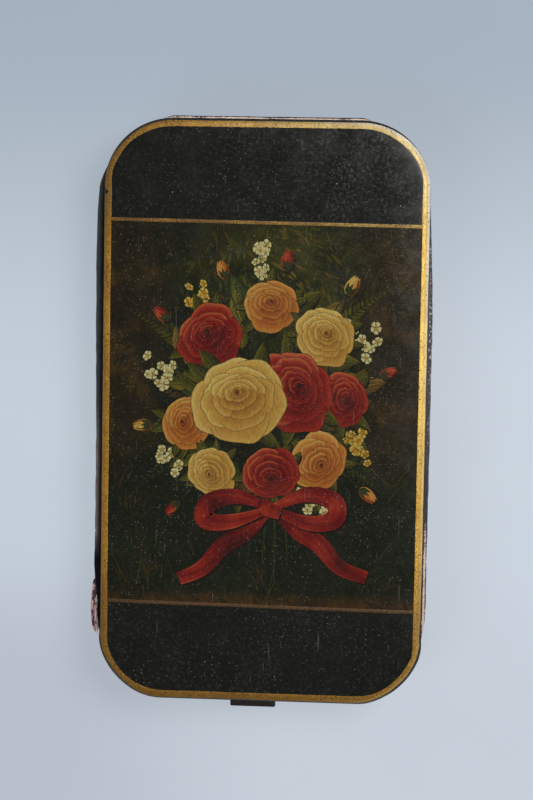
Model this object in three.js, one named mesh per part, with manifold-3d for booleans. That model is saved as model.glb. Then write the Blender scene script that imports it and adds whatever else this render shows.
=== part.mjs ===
// A flat lacquered cigar case: two dished covers, joined by pleated leather and closed by a spring clasp.
// Millimetres, +Z up. The case lies on its back cover, and the origin is the centre of the cover's flat face.
// +Y is the hinge end, -Y is the mouth, and X is the width.

import * as THREE from "three";
import { mergeVertices } from "three/addons/utils/BufferGeometryUtils.js";
import Module from "manifold-3d";

const wasm = await Module();
wasm.setup();

// Covers: dished boards with a rim that is shallow along the leather and deep round the mouth.
const COVER_LENGTH = 136;
const COVER_WIDTH = 75.7;
const HINGE_CORNER_RADIUS = 16;
const MOUTH_CORNER_RADIUS = 14.8;
const CASE_THICKNESS = 16;
const BOARD_THICKNESS = 2.2;
const RIM_WALL = 1.8;
const SIDE_RIM_HEIGHT = 3.5;
const MOUTH_RIM_LENGTH = 9.5;
const RIM_RISE_LENGTH = 5;
const SEAM_GAP = 0.3;
const EDGE_RADIUS = 1.4;
const CROWN_DROP = 0.5;
const CROWN_WIDTH = 9.5;

// Clearance between a piece and what it is glued, riveted or folded against.
const FIT_GAP = 0.3;
const GLUE_GAP = 0.05;

// Leather: a ribbon with three outward folds, deep at the mouth and shallow at the hinge.
const LEATHER_THICKNESS = 0.7;
const FLANGE_WIDTH = 4;
const FOLD_PITCH = 1.5;
const FOLD_DEPTH_AT_MOUTH = 7.4;
const FOLD_DEPTH_AT_HINGE = 0.9;
const LEFT_BULGE = 2.05;
const LEFT_BULGE_START = 5;
const LEFT_BULGE_FADE = 12;
const RIGHT_BULGE = 1.2;
const RIGHT_BULGE_START = 17;
const RIGHT_BULGE_FADE = 24;
const MOUTH_REACH = 0.2;
const MOUTH_TAPER_LENGTH = 5;
const HINGE_SETBACK = 0.35;
const SPINE_THICKNESS = 0.6;
const SPINE_OVERLAP = 1.4;
const SPINE_LENGTH = 49;
const SPINE_LINING_THICKNESS = 0.5;

// Linings: thin panels on the floor of each cover.
const LINING_THICKNESS = 0.6;
const LINING_MOUTH_RADIUS = 8;

// Clasp: a spring tongue that hangs from a riveted foot, and the keeper behind which it sits.
const CLASP_OFFSET = -1.7;
const TAB_WIDTH = 10.8;
const TAB_THICKNESS = 0.7;
const TAB_PROUD = 3.2;
const TAB_CORNER_RADIUS = 0.4;
const TAB_SWING_ROOM = 0.65;
const TONGUE_WIDTH = 8;
const TONGUE_LENGTH = 8.5;
const BEAD_RADIUS = 0.6;
const BEAD_PROUD = 0.2;
const BEAD_HEIGHT = 1.1;
const PLATE_THICKNESS = 0.5;
const FOOT_WIDTH = 11.2;
const FOOT_LENGTH = 6.5;
const KEEPER_HEIGHT = 4.4;
const KEEPER_CLEARANCE = 0.4;
const SLOT_HEIGHT = 1.6;
const RIVET_SPACING = 6;
const RIVET_SHANK_RADIUS = 0.6;
const RIVET_HEAD_RADIUS = 1.2;
const RIVET_HEAD_HEIGHT = 0.5;
const RIVET_DEPTH = 1.2;

// Steps in the curved stretches, and the small overlap that makes a cut or a join certain.
const CORNER_STEPS = 15;
const CROWN_STEPS = 3;
const EDGE_STEPS = 4;
const SIDE_STEPS = 20;
const LINING_CORNER_STEPS = 8;
const TAB_CORNER_STEPS = 4;
const DOME_STEPS = 4;
const RIVET_SIDES = 12;
const BEAD_SIDES = 16;
const OVERCUT = 1;
const MERGE_DISTANCE = 1e-4;

// Places worked out from the sizes above.
const HALF_WIDTH = COVER_WIDTH / 2;
const HALF_LENGTH = COVER_LENGTH / 2;
const MID_HEIGHT = CASE_THICKNESS / 2;
const HINGE_SIDE_END = HALF_LENGTH - HINGE_CORNER_RADIUS;
const MOUTH_RIM_HEIGHT = MID_HEIGHT - SEAM_GAP / 2;
const RISE_HIGH_Y = -HALF_LENGTH + MOUTH_RIM_LENGTH;
const RISE_LOW_Y = RISE_HIGH_Y + RIM_RISE_LENGTH;
const GUSSET_MOUTH_Y = RISE_LOW_Y + FIT_GAP;
const INNER_FACE = RIM_WALL + GLUE_GAP;
const MOUTH_INNER_Y = -HALF_LENGTH + INNER_FACE;
const TONGUE_OUTER_Y = MOUTH_INNER_Y + PLATE_THICKNESS + KEEPER_CLEARANCE;
const FOOT_END_Y = TONGUE_OUTER_Y + FOOT_LENGTH;
const FRONT_FLOOR_Z = CASE_THICKNESS - BOARD_THICKNESS;
const TONGUE_TOP_Z = FRONT_FLOOR_Z - PLATE_THICKNESS - FIT_GAP;
const TONGUE_END_Z = TONGUE_TOP_Z - TONGUE_LENGTH;
const BEAD_Z = TONGUE_END_Z + BEAD_HEIGHT;
const RIVET_Y = TONGUE_OUTER_Y + FOOT_LENGTH / 2;

// A mirrored height belongs to the front cover's side of the case.
const mirrored = (z) => CASE_THICKNESS - z;

function smoothstep(t) {
  const u = THREE.MathUtils.clamp(t, 0, 1);
  return u * u * (3 - 2 * u);
}

// Solids to and from the boolean library.
function solidOf(geometry) {
  const plain = geometry.clone();
  plain.deleteAttribute("normal");
  plain.deleteAttribute("uv");
  const merged = mergeVertices(plain, MERGE_DISTANCE);
  const vertProperties = new Float32Array(merged.attributes.position.array);
  const triVerts = new Uint32Array(merged.index.array);
  return new wasm.Manifold(new wasm.Mesh({ numProp: 3, vertProperties, triVerts }));
}

function geometryOf(solid) {
  const mesh = solid.getMesh();
  const geometry = new THREE.BufferGeometry();
  geometry.setAttribute("position", new THREE.BufferAttribute(new Float32Array(mesh.vertProperties), 3));
  geometry.setIndex(new THREE.BufferAttribute(new Uint32Array(mesh.triVerts), 1));
  geometry.computeVertexNormals();
  return geometry;
}

function cut(geometry, cutters) {
  const solid = cutters.reduce((rest, cutter) => rest.subtract(solidOf(cutter)), solidOf(geometry));
  return geometryOf(solid);
}

function join(geometries) {
  const [first, ...others] = geometries.map(solidOf);
  return geometryOf(others.reduce((whole, other) => whole.add(other), first));
}

// A box between two corners.
function block(low, high) {
  const size = high.map((value, axis) => value - low[axis]);
  const centre = high.map((value, axis) => (value + low[axis]) / 2);
  return new THREE.BoxGeometry(...size).translate(...centre);
}

// The stations round a cover's outline, anticlockwise seen from above, each at an angle round a corner.
function outlineStations() {
  const corner = (sideX, sideY, radius, start) =>
    Array.from({ length: CORNER_STEPS + 1 }, (_, i) => ({
      centreX: sideX * (HALF_WIDTH - radius),
      centreY: sideY * (HALF_LENGTH - radius),
      radius,
      angle: start + (i / CORNER_STEPS) * (Math.PI / 2),
    }));
  return [
    ...corner(1, 1, HINGE_CORNER_RADIUS, 0),
    ...corner(-1, 1, HINGE_CORNER_RADIUS, Math.PI / 2),
    ...corner(-1, -1, MOUTH_CORNER_RADIUS, Math.PI),
    ...corner(1, -1, MOUTH_CORNER_RADIUS, 1.5 * Math.PI),
  ];
}

function outlinePoint({ centreX, centreY, radius, angle }, inset) {
  const reach = radius - inset;
  return [centreX + reach * Math.cos(angle), centreY + reach * Math.sin(angle)];
}

// A closed body from rings with equal numbers of points, each joined to the next.
// capOf gives the triangles that close the first or the last ring, in the ring's own direction.
function loft(rings, capOf) {
  const count = rings[0].length;
  const vertices = rings.flat();
  const triangles = [];
  for (let k = 0; k + 1 < rings.length; k++) {
    for (let i = 0; i < count; i++) {
      const j = (i + 1) % count;
      const [a, b, c, d] = [k * count + i, k * count + j, (k + 1) * count + j, (k + 1) * count + i];
      triangles.push([a, b, c], [a, c, d]);
    }
  }
  const last = rings.length - 1;
  for (const triangle of capOf(rings[0], 0, vertices)) triangles.push(triangle.toReversed());
  triangles.push(...capOf(rings[last], last, vertices));
  const geometry = new THREE.BufferGeometry();
  geometry.setAttribute("position", new THREE.Float32BufferAttribute(vertices.flat(), 3));
  geometry.setIndex(triangles.flat());
  geometry.computeVertexNormals();
  return geometry;
}

// A cap for a convex ring: a fan round its middle.
function fanCap(ring, place, vertices) {
  const first = place * ring.length;
  const middle = [0, 1, 2].map((axis) => ring.reduce((sum, point) => sum + point[axis], 0) / ring.length);
  const centre = vertices.push(middle) - 1;
  return ring.map((_, i) => [centre, first + i, first + ((i + 1) % ring.length)]);
}

// A cap for a ring of any shape, triangulated from its flat section.
function sectionCap(section, place) {
  const first = place * section.length;
  const flat = section.map(([u, v]) => new THREE.Vector2(u, v));
  const reversed = THREE.ShapeUtils.isClockWise(flat);
  const order = flat.map((_, i) => (reversed ? flat.length - 1 - i : i));
  const faces = THREE.ShapeUtils.triangulateShape(order.map((i) => flat[i]), []);
  return faces.map((face) => (reversed ? face.toReversed() : face).map((i) => first + order[i]));
}

// Height of a cover's rim at a place along the case, for the back cover.
function rimHeight(y) {
  const rise = smoothstep((RISE_LOW_Y - y) / RIM_RISE_LENGTH);
  return THREE.MathUtils.lerp(SIDE_RIM_HEIGHT, MOUTH_RIM_HEIGHT, rise);
}

// A dished cover, lying on its outer face.
function coverGeometry() {
  const stations = outlineStations();
  const ring = (inset, heightAt) =>
    stations.map((station) => {
      const [x, y] = outlinePoint(station, inset);
      return [x, y, heightAt(y)];
    });
  const rings = [];
  for (let i = 0; i < CROWN_STEPS; i++) {
    const u = i / CROWN_STEPS;
    rings.push(ring(EDGE_RADIUS + CROWN_WIDTH * (1 - u), () => CROWN_DROP * u * u));
  }
  for (let i = 0; i <= EDGE_STEPS; i++) {
    const angle = (i / EDGE_STEPS) * (Math.PI / 2);
    const height = CROWN_DROP + EDGE_RADIUS * (1 - Math.cos(angle));
    rings.push(ring(EDGE_RADIUS * (1 - Math.sin(angle)), () => height));
  }
  rings.push(ring(0, rimHeight));
  rings.push(ring(RIM_WALL, rimHeight));
  rings.push(ring(RIM_WALL, () => BOARD_THICKNESS));
  return loft(rings, fanCap);
}

// The same body turned face for face, so that a back cover's piece becomes a front cover's.
function mirroredGeometry(geometry) {
  const position = geometry.attributes.position;
  for (let i = 0; i < position.count; i++) position.setZ(i, mirrored(position.getZ(i)));
  const index = geometry.index.array;
  for (let i = 0; i < index.length; i += 3) [index[i], index[i + 1]] = [index[i + 1], index[i]];
  geometry.computeVertexNormals();
  return geometry;
}

// Rivets stand on a plate on the back cover's floor. Their places are shared by the holes.
const rivetPlaces = [-1, 1].map((side) => [CLASP_OFFSET + (side * RIVET_SPACING) / 2, RIVET_Y]);

function rivetHoles() {
  const radius = RIVET_SHANK_RADIUS + FIT_GAP;
  const low = BOARD_THICKNESS - RIVET_DEPTH - FIT_GAP;
  const high = BOARD_THICKNESS + PLATE_THICKNESS + OVERCUT;
  return rivetPlaces.map(([x, y]) =>
    new THREE.CylinderGeometry(radius, radius, high - low, RIVET_SIDES)
      .rotateX(Math.PI / 2)
      .translate(x, y, (low + high) / 2),
  );
}

function rivetGeometry([x, y]) {
  const seat = BOARD_THICKNESS + PLATE_THICKNESS;
  const dome = new THREE.EllipseCurve(0, seat, RIVET_HEAD_RADIUS, RIVET_HEAD_HEIGHT, 0, Math.PI / 2);
  const profile = [
    new THREE.Vector2(0, BOARD_THICKNESS - RIVET_DEPTH),
    new THREE.Vector2(RIVET_SHANK_RADIUS, BOARD_THICKNESS - RIVET_DEPTH),
    new THREE.Vector2(RIVET_SHANK_RADIUS, seat),
    ...dome.getPoints(DOME_STEPS),
  ];
  profile[profile.length - 1].x = 0;
  return new THREE.LatheGeometry(profile, RIVET_SIDES).rotateX(Math.PI / 2).translate(x, y, 0);
}

// The notch in a rim that lets the thumb tab through, from a given height to past the seam.
function tabNotch(low, high) {
  const half = TAB_WIDTH / 2 + FIT_GAP;
  return block(
    [CLASP_OFFSET - half, -HALF_LENGTH - OVERCUT, low],
    [CLASP_OFFSET + half, -HALF_LENGTH + RIM_WALL + OVERCUT, high],
  );
}

function backCover() {
  const notch = tabNotch(MID_HEIGHT - TAB_THICKNESS / 2 - TAB_SWING_ROOM, MID_HEIGHT + OVERCUT);
  return cut(coverGeometry(), [...rivetHoles(), notch]);
}

function frontCover() {
  const notch = tabNotch(MID_HEIGHT - OVERCUT, MID_HEIGHT + TAB_THICKNESS / 2 + FIT_GAP);
  const holes = rivetHoles().map(mirroredGeometry);
  return cut(mirroredGeometry(coverGeometry()), [...holes, notch]);
}

// A lining panel on the back cover's floor, between the leather flanges and round the clasp's plate.
function liningGeometry() {
  const halfX = HALF_WIDTH - RIM_WALL - FLANGE_WIDTH - 2 * FIT_GAP;
  const mouthY = -HALF_LENGTH + RIM_WALL + FIT_GAP;
  const hingeY = HALF_LENGTH - RIM_WALL - FLANGE_WIDTH - 2 * FIT_GAP;
  const hingeRadius = HINGE_CORNER_RADIUS - (HALF_WIDTH - halfX);
  const mouthRadius = LINING_MOUTH_RADIUS;
  const notchHalf = FOOT_WIDTH / 2 + FIT_GAP;
  const shape = new THREE.Shape();
  shape.moveTo(CLASP_OFFSET + notchHalf, mouthY);
  shape.absarc(halfX - mouthRadius, mouthY + mouthRadius, mouthRadius, -Math.PI / 2, 0);
  shape.absarc(halfX - hingeRadius, hingeY - hingeRadius, hingeRadius, 0, Math.PI / 2);
  shape.absarc(-halfX + hingeRadius, hingeY - hingeRadius, hingeRadius, Math.PI / 2, Math.PI);
  shape.absarc(-halfX + mouthRadius, mouthY + mouthRadius, mouthRadius, Math.PI, 1.5 * Math.PI);
  shape.lineTo(CLASP_OFFSET - notchHalf, mouthY);
  shape.lineTo(CLASP_OFFSET - notchHalf, FOOT_END_Y + FIT_GAP);
  shape.lineTo(CLASP_OFFSET + notchHalf, FOOT_END_Y + FIT_GAP);
  const settings = { depth: LINING_THICKNESS, bevelEnabled: false, curveSegments: LINING_CORNER_STEPS };
  return new THREE.ExtrudeGeometry(shape, settings).translate(0, 0, BOARD_THICKNESS);
}

// The section of the leather ribbon, as distance out from the cover's edge and height.
// Its lower half is drawn, and the upper half mirrors it.
function gussetSection(reach, depth) {
  const knee = -RIM_WALL - FIT_GAP;
  const thickness = LEATHER_THICKNESS;
  const slope = depth / FOLD_PITCH;
  const tipHalf = thickness / 2;
  const tipCut = tipHalf * slope;
  const shift = thickness * Math.hypot(1, slope);
  const lowFold = MID_HEIGHT - 2 * FOLD_PITCH;
  const innerFold = MID_HEIGHT - FOLD_PITCH;
  const kneeHeight = SIDE_RIM_HEIGHT + FIT_GAP;
  const outside = [
    [knee - FLANGE_WIDTH, BOARD_THICKNESS],
    [knee, BOARD_THICKNESS],
    [knee, kneeHeight],
    [reach, lowFold - tipHalf],
    [reach, lowFold + tipHalf],
    [reach + tipCut - depth, innerFold],
    [reach, MID_HEIGHT - tipHalf],
  ];
  const inside = [
    [reach + tipCut - shift, MID_HEIGHT],
    [reach + 2 * tipCut - depth - shift, innerFold + tipHalf],
    [reach + 2 * tipCut - depth - shift, innerFold - tipHalf],
    [reach + tipCut - shift, lowFold],
    [knee - thickness, kneeHeight + thickness],
    [knee - thickness, BOARD_THICKNESS + thickness],
    [knee - FLANGE_WIDTH, BOARD_THICKNESS + thickness],
  ];
  const mirror = (points) => points.map(([out, z]) => [out, mirrored(z)]).toReversed();
  return [...outside, ...mirror(outside), ...mirror(inside.slice(1)), ...inside];
}

// The ribbon's run: up one long side, round the hinge corner, and a little way along the hinge end.
function gussetRun() {
  const run = [];
  for (let i = 0; i < SIDE_STEPS; i++) {
    run.push({ y: THREE.MathUtils.lerp(GUSSET_MOUTH_Y, HINGE_SIDE_END, i / SIDE_STEPS), angle: 0 });
  }
  for (let i = 0; i <= CORNER_STEPS; i++) {
    run.push({ y: HINGE_SIDE_END, angle: (i / CORNER_STEPS) * (Math.PI / 2) });
  }
  return run;
}

// How far the leather reaches past the cover's edge: it swells from the hinge and tapers in at the mouth.
function gussetReach(bulge, start, fade, alongY) {
  const swell = smoothstep((HALF_LENGTH - start - alongY) / fade);
  const taper = smoothstep((alongY - GUSSET_MOUTH_Y) / MOUTH_TAPER_LENGTH);
  const reach = THREE.MathUtils.lerp(-HINGE_SETBACK, bulge, swell);
  return THREE.MathUtils.lerp(Math.min(reach, MOUTH_REACH), reach, taper);
}

function gussetGeometry(side, bulge, start, fade) {
  const run = side > 0 ? gussetRun().toReversed() : gussetRun();
  const radius = HINGE_CORNER_RADIUS;
  const sections = run.map(({ y, angle }) => {
    const towardsHinge = (y - GUSSET_MOUTH_Y) / (HINGE_SIDE_END - GUSSET_MOUTH_Y);
    return gussetSection(
      gussetReach(bulge, start, fade, y + radius * Math.sin(angle)),
      THREE.MathUtils.lerp(FOLD_DEPTH_AT_MOUTH, FOLD_DEPTH_AT_HINGE, towardsHinge),
    );
  });
  const rings = sections.map((section, i) =>
    section.map(([out, z]) => [
      side * (HALF_WIDTH - radius + (radius + out) * Math.cos(run[i].angle)),
      run[i].y + (radius + out) * Math.sin(run[i].angle),
      z,
    ]),
  );
  return loft(rings, (_, place) => sectionCap(sections[place], place));
}

// The leather spine: a strip glued to the outside of both rims at the hinge end.
function spineGeometry() {
  const low = SIDE_RIM_HEIGHT - SPINE_OVERLAP;
  const halfX = SPINE_LENGTH / 2;
  const outer = HALF_LENGTH + SPINE_THICKNESS;
  return block([-halfX, HALF_LENGTH, low], [halfX, outer, mirrored(low)]);
}

// The cloth that backs the spine: a channel glued inside both rims at the hinge end.
function spineLiningGeometry() {
  const halfX = HALF_WIDTH - HINGE_CORNER_RADIUS - FIT_GAP;
  const back = HALF_LENGTH - RIM_WALL - FIT_GAP;
  const thickness = SPINE_LINING_THICKNESS;
  const floor = BOARD_THICKNESS;
  const wall = block([-halfX, back - thickness, floor], [halfX, back, mirrored(floor)]);
  const flange = () => block([-halfX, back - FLANGE_WIDTH, floor], [halfX, back, floor + thickness]);
  return join([wall, flange(), mirroredGeometry(flange())]);
}

// The foot that carries the tongue, flat on the front cover's floor.
function catchFoot() {
  const half = FOOT_WIDTH / 2;
  const plate = block(
    [CLASP_OFFSET - half, TONGUE_OUTER_Y, BOARD_THICKNESS],
    [CLASP_OFFSET + half, FOOT_END_Y, BOARD_THICKNESS + PLATE_THICKNESS],
  );
  return mirroredGeometry(cut(plate, rivetHoles()));
}

// The keeper: an angle plate on the back cover's floor and up its mouth rim, with a slot for the bead.
function keeperPlate() {
  const half = FOOT_WIDTH / 2;
  const slotHalf = TONGUE_WIDTH / 2 + FIT_GAP;
  const floor = BOARD_THICKNESS;
  const inner = MOUTH_INNER_Y + PLATE_THICKNESS;
  const foot = block(
    [CLASP_OFFSET - half, MOUTH_INNER_Y, floor],
    [CLASP_OFFSET + half, FOOT_END_Y, floor + PLATE_THICKNESS],
  );
  const wall = block(
    [CLASP_OFFSET - half, MOUTH_INNER_Y, floor],
    [CLASP_OFFSET + half, inner, floor + KEEPER_HEIGHT],
  );
  const slot = block(
    [CLASP_OFFSET - slotHalf, MOUTH_INNER_Y - OVERCUT, BEAD_Z - SLOT_HEIGHT / 2],
    [CLASP_OFFSET + slotHalf, inner + OVERCUT, BEAD_Z + SLOT_HEIGHT / 2],
  );
  return cut(join([foot, wall]), [...rivetHoles(), slot]);
}

// The tongue: a leg that hangs behind the mouth rims, its bead, and the thumb tab through the seam.
function catchTongue() {
  const half = TONGUE_WIDTH / 2;
  const inner = TONGUE_OUTER_Y + PLATE_THICKNESS;
  const leg = block(
    [CLASP_OFFSET - half, TONGUE_OUTER_Y, TONGUE_END_Z],
    [CLASP_OFFSET + half, inner, TONGUE_TOP_Z],
  );
  const bead = new THREE.CylinderGeometry(BEAD_RADIUS, BEAD_RADIUS, TONGUE_WIDTH, BEAD_SIDES)
    .rotateZ(Math.PI / 2)
    .translate(CLASP_OFFSET, TONGUE_OUTER_Y - BEAD_PROUD + BEAD_RADIUS, BEAD_Z);
  const behindLeg = block(
    [-HALF_WIDTH, inner, BEAD_Z - OVERCUT],
    [HALF_WIDTH, inner + OVERCUT, BEAD_Z + OVERCUT],
  );
  return join([leg, cut(bead, [behindLeg]), tabGeometry(inner)]);
}

function tabGeometry(inner) {
  const half = TAB_WIDTH / 2;
  const tip = -HALF_LENGTH - TAB_PROUD;
  const radius = TAB_CORNER_RADIUS;
  const shape = new THREE.Shape();
  shape.moveTo(half, inner);
  shape.lineTo(-half, inner);
  shape.absarc(-half + radius, tip + radius, radius, Math.PI, 1.5 * Math.PI);
  shape.absarc(half - radius, tip + radius, radius, -Math.PI / 2, 0);
  const settings = { depth: TAB_THICKNESS, bevelEnabled: false, curveSegments: TAB_CORNER_STEPS };
  const tab = new THREE.ExtrudeGeometry(shape, settings);
  return tab.translate(CLASP_OFFSET, 0, MID_HEIGHT - TAB_THICKNESS / 2);
}

const lacquer = new THREE.MeshStandardMaterial({ color: 0x0b0d0c, roughness: 0.18, metalness: 0 });
const leather = new THREE.MeshStandardMaterial({ color: 0x2a1a1c, roughness: 0.65, metalness: 0 });
const silk = new THREE.MeshStandardMaterial({ color: 0x5a1f24, roughness: 0.6, metalness: 0 });
const steel = new THREE.MeshStandardMaterial({ color: 0x6d6459, roughness: 0.4, metalness: 1 });

const cigarCase = new THREE.Group();

function place(name, geometry, material) {
  const mesh = new THREE.Mesh(geometry, material);
  mesh.name = name;
  cigarCase.add(mesh);
}

place("back_cover", backCover(), lacquer);
place("front_cover", frontCover(), lacquer);
place("back_lining", liningGeometry(), silk);
place("front_lining", mirroredGeometry(mergeVertices(liningGeometry())), silk);
place("left_gusset", gussetGeometry(-1, LEFT_BULGE, LEFT_BULGE_START, LEFT_BULGE_FADE), leather);
place("right_gusset", gussetGeometry(1, RIGHT_BULGE, RIGHT_BULGE_START, RIGHT_BULGE_FADE), leather);
place("spine_leather", spineGeometry(), leather);
place("spine_lining", spineLiningGeometry(), silk);
place("keeper_plate", keeperPlate(), steel);
place("keeper_rivet_left", rivetGeometry(rivetPlaces[0]), steel);
place("keeper_rivet_right", rivetGeometry(rivetPlaces[1]), steel);
place("catch_foot", catchFoot(), steel);
place("foot_rivet_left", mirroredGeometry(rivetGeometry(rivetPlaces[0])), steel);
place("foot_rivet_right", mirroredGeometry(rivetGeometry(rivetPlaces[1])), steel);
place("catch_tongue", catchTongue(), steel);

export default cigarCase;
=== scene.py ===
"""A lacquered cigar case, in metres on the CAD frame: its finish, painted flowers, leather and clasp.

Modelling is done in millimetres, as on the bench, and each mesh is turned to metres when it is made.
"""

from math import atan, atan2, cos, exp, pi, radians, sin, sqrt, tanh

import bmesh
import bpy
import numpy as np
from mathutils import Matrix, Vector, noise


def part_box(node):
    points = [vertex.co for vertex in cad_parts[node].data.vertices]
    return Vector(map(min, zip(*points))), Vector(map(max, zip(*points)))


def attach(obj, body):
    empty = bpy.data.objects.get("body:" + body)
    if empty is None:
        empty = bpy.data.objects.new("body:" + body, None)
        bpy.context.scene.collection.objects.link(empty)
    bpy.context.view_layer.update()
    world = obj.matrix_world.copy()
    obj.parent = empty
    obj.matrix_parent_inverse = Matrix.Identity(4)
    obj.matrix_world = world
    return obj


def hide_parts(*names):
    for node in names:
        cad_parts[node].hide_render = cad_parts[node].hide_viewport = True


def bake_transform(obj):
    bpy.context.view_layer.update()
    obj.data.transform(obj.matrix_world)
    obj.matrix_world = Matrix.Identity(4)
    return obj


MM = 0.001

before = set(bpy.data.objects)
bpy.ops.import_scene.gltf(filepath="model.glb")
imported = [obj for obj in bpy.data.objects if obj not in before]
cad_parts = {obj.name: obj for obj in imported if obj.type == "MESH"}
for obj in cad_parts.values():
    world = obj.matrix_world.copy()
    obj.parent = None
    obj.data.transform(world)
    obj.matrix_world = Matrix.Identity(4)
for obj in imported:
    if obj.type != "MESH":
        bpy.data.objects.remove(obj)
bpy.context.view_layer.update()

# Sizes read from the frame, in millimetres.
front_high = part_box("front_cover")[1] / MM
tongue_low, tongue_high = (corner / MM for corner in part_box("catch_tongue"))
spine_low, spine_high = (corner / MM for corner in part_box("spine_leather"))
lining_low, lining_high = (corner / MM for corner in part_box("back_lining"))
foot_low, foot_high = (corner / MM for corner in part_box("catch_foot"))
HALF_WIDTH = front_high.x
HALF_LENGTH = front_high.y
THICKNESS = front_high.z
MIDDLE = THICKNESS / 2
TAB_HALF = (tongue_high.x - tongue_low.x) / 2
TAB_MIDDLE = (tongue_high.x + tongue_low.x) / 2

# Sizes of the covers that the frame's boxes don't give.
HINGE_CORNER = 16.0
MOUTH_CORNER = 14.8
BOARD = 2.2
RIM_WALL = 1.8
SIDE_RIM = 3.5
MOUTH_RIM_LENGTH = 9.5
RIM_RISE_LENGTH = 5.0
SEAM_GAP = 0.3
EDGE_WIDTH = 1.4
CROWN_DROP = 0.5
CROWN_WIDTH = 9.5
RIM_ROUND = 0.25
FLOOR_COVE = 0.8

# The clasp.
TAB_THICKNESS = 0.7
TAB_CLEARANCE = 0.3
TAB_SWING_ROOM = 0.65
TAB_CORNER = 0.4
TONGUE_WIDTH = 8.0
PLATE_THICKNESS = 0.5
KEEPER_CLEARANCE = 0.4
BEAD_HEIGHT = 1.1
BEAD_PROUD = 0.2
BEAD_SPREAD = 0.42
TONGUE_EASE = 0.1
TAB_EASE = 0.14

# The border's outer and inner edges, in from the cover's edge, by the way that edge faces in degrees.
BORDER = (
    (0, 0.03, 1.81), (15, 0.03, 1.48), (30, 0.05, 1.65), (45, 0.22, 1.87), (60, 0.42, 2.0), (90, 0.53, 2.0),
    (120, 0.56, 1.97), (135, 0.65, 1.8), (150, 0.45, 1.83), (165, 0.2, 1.7), (180, 0.24, 2.0),
    (183, 0.36, 2.0), (195, 0.38, 1.85), (210, 0.55, 1.95), (225, 0.65, 1.95), (240, 0.45, 1.9),
    (252, 0.24, 1.85), (270, 0.22, 1.75), (285, 0.34, 1.8), (300, 0.6, 1.9), (315, 0.7, 1.95),
    (330, 0.55, 1.9), (345, 0.4, 1.53), (357, 0.36, 1.75), (360, 0.03, 1.81),
)
# How far the lacquered edge stands out past the boards round the mouth, by the way it faces in degrees.
MOUTH_SWELL = (
    (180, 0.35), (195, 0.32), (207, 0.2), (222, 0.12), (234, 0.17), (249, 0.42), (258, 0.48), (278, 0.5),
    (287, 0.28), (297, 0.08), (315, 0.0), (330, 0.1), (345, 0.32), (360, 0.4),
)
SWELL_WIDTH = 0.8
SWELL_PLACE = -50.0
SWELL_FADE = 6.0
COVER_STEP = 0.8
GILT_STEP = 0.6
CHIP_PLACE = 50.9
CHIP_DEPTH = 0.9
CHIP_WIDTH = 0.5
LEAVING = 0.33
LEAVING_PLACE = -47.0
LEAVING_FADE = 6.5
RIM_SHINE = 0.85
PANEL_INSET = 1.7
UPPER_LINE_ENDS = (44.48, 43.89)
LOWER_LINE_ENDS = (-45.1, -45.9)
LINE_WIDTH = 0.85
GILD_HEIGHT = 0.02
GILD_SUNK = -0.01
BORDER_WOBBLE = 0.07
BORDER_ROWS = 16
LINE_WOBBLE = 0.05

# The painted panel lies between the gold lines, inside the border.
PANEL_HEIGHT = 0.008
AGED_VARNISH = (173.4, 167.7, 123.6)
PAINT_LIFT = 0.012
PAINT_STEP = 0.0008
PAINT_CELL = 0.4

# Leather and silk.
LEATHER = 0.62
LINING_CLOTH = 0.5
LINING_MOUTH_CORNER = 8.0
FLANGE = 4.0
FOLD_PITCH = 1.5
MOUTH_FOLD_DEPTH = 7.4
HINGE_FOLD_DEPTH = 0.9
FIT_GAP = 0.3
SPINE_TAPER = 3.5
SPINE_ROUND = 0.35
SPINE_HOLLOW = 0.22
LINING_EASE = 0.45
CLOTH_CORNER = 0.9

# How far the leather reaches past the cover's edge, by place along the case.
LEFT_EDGE = (
    (-55, 0.5), (-52, 1.1), (-42, 1.5), (-39, 1.95), (-13, 1.78), (10, 2.0), (34, 2.14), (48, 1.9),
    (51, 1.6), (54, 1.1), (56, 0.4), (59, -0.35),
)
RIGHT_EDGE = (
    (-55, -0.2), (-53, 0.25), (-50.5, 0.85), (-47, 1.08), (-20, 1.1), (17, 1.16), (27, 1.0), (36, 0.7),
    (44, 0.3), (51, -0.15), (56, -0.35),
)
# Each torn strip's path: how far out from the left edge, place along the case, and height.
CREAM_STRIP = ((0.9, -43.0, 11.0), (1.25, -46, 11.5), (1.3, -50, 11.7), (1.0, -54.4, 11.4))
PINK_STRIP = ((1.45, -40.2, 10.4), (1.85, -44, 10.8), (2.1, -48.5, 10.9), (1.6, -54.0, 10.6))
NICK_PLACE = -29.4
NICK_WIDTH = 0.65
WORN_RIDGE = 0.55
RIDGE_WIDTH = 0.26
TIP_WIDTH = 0.75
EDGE_HEIGHT = 9.2
HINGE_SETBACK = 0.35

# The paper that the case lies on: its side in metres, and how much it glows.
PAPER_SIDE = 30.0
PAPER_GLOW = 0.76

# The camera, fitted to the photograph's gold lines.
FOCAL_LENGTH = 100.0
SENSOR_LONG_SIDE = 36.0
CAMERA_YAW = -4.05
CAMERA_PITCH = 5.29
CAMERA_ROLL = -0.976
CAMERA_OFFSET = (-0.969, -3.092, -516.98)


def smoothstep(t):
    u = np.clip(t, 0.0, 1.0)
    return u * u * (3 - 2 * u)


def lerp(a, b, t):
    return a + (b - a) * t


def bell(x, middle, width):
    """A smooth hump, 1 at its middle."""
    return np.exp(-(((x - middle) / width) ** 2))


def noise_at(x, y, z):
    return noise.noise(Vector((x, y, z)))


def wave(x, seed, size):
    """Smooth noise about zero along one length, with features of the given size."""
    return noise_at(x / size, seed * 7.31, seed * 3.17)


def linear(rgb):
    """A colour written as 0 to 255 values, in linear light."""
    c = np.asarray(rgb, float) / 255.0
    return np.where(c <= 0.04045, c / 12.92, ((c + 0.055) / 1.055) ** 2.4)


# Mesh making


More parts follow.
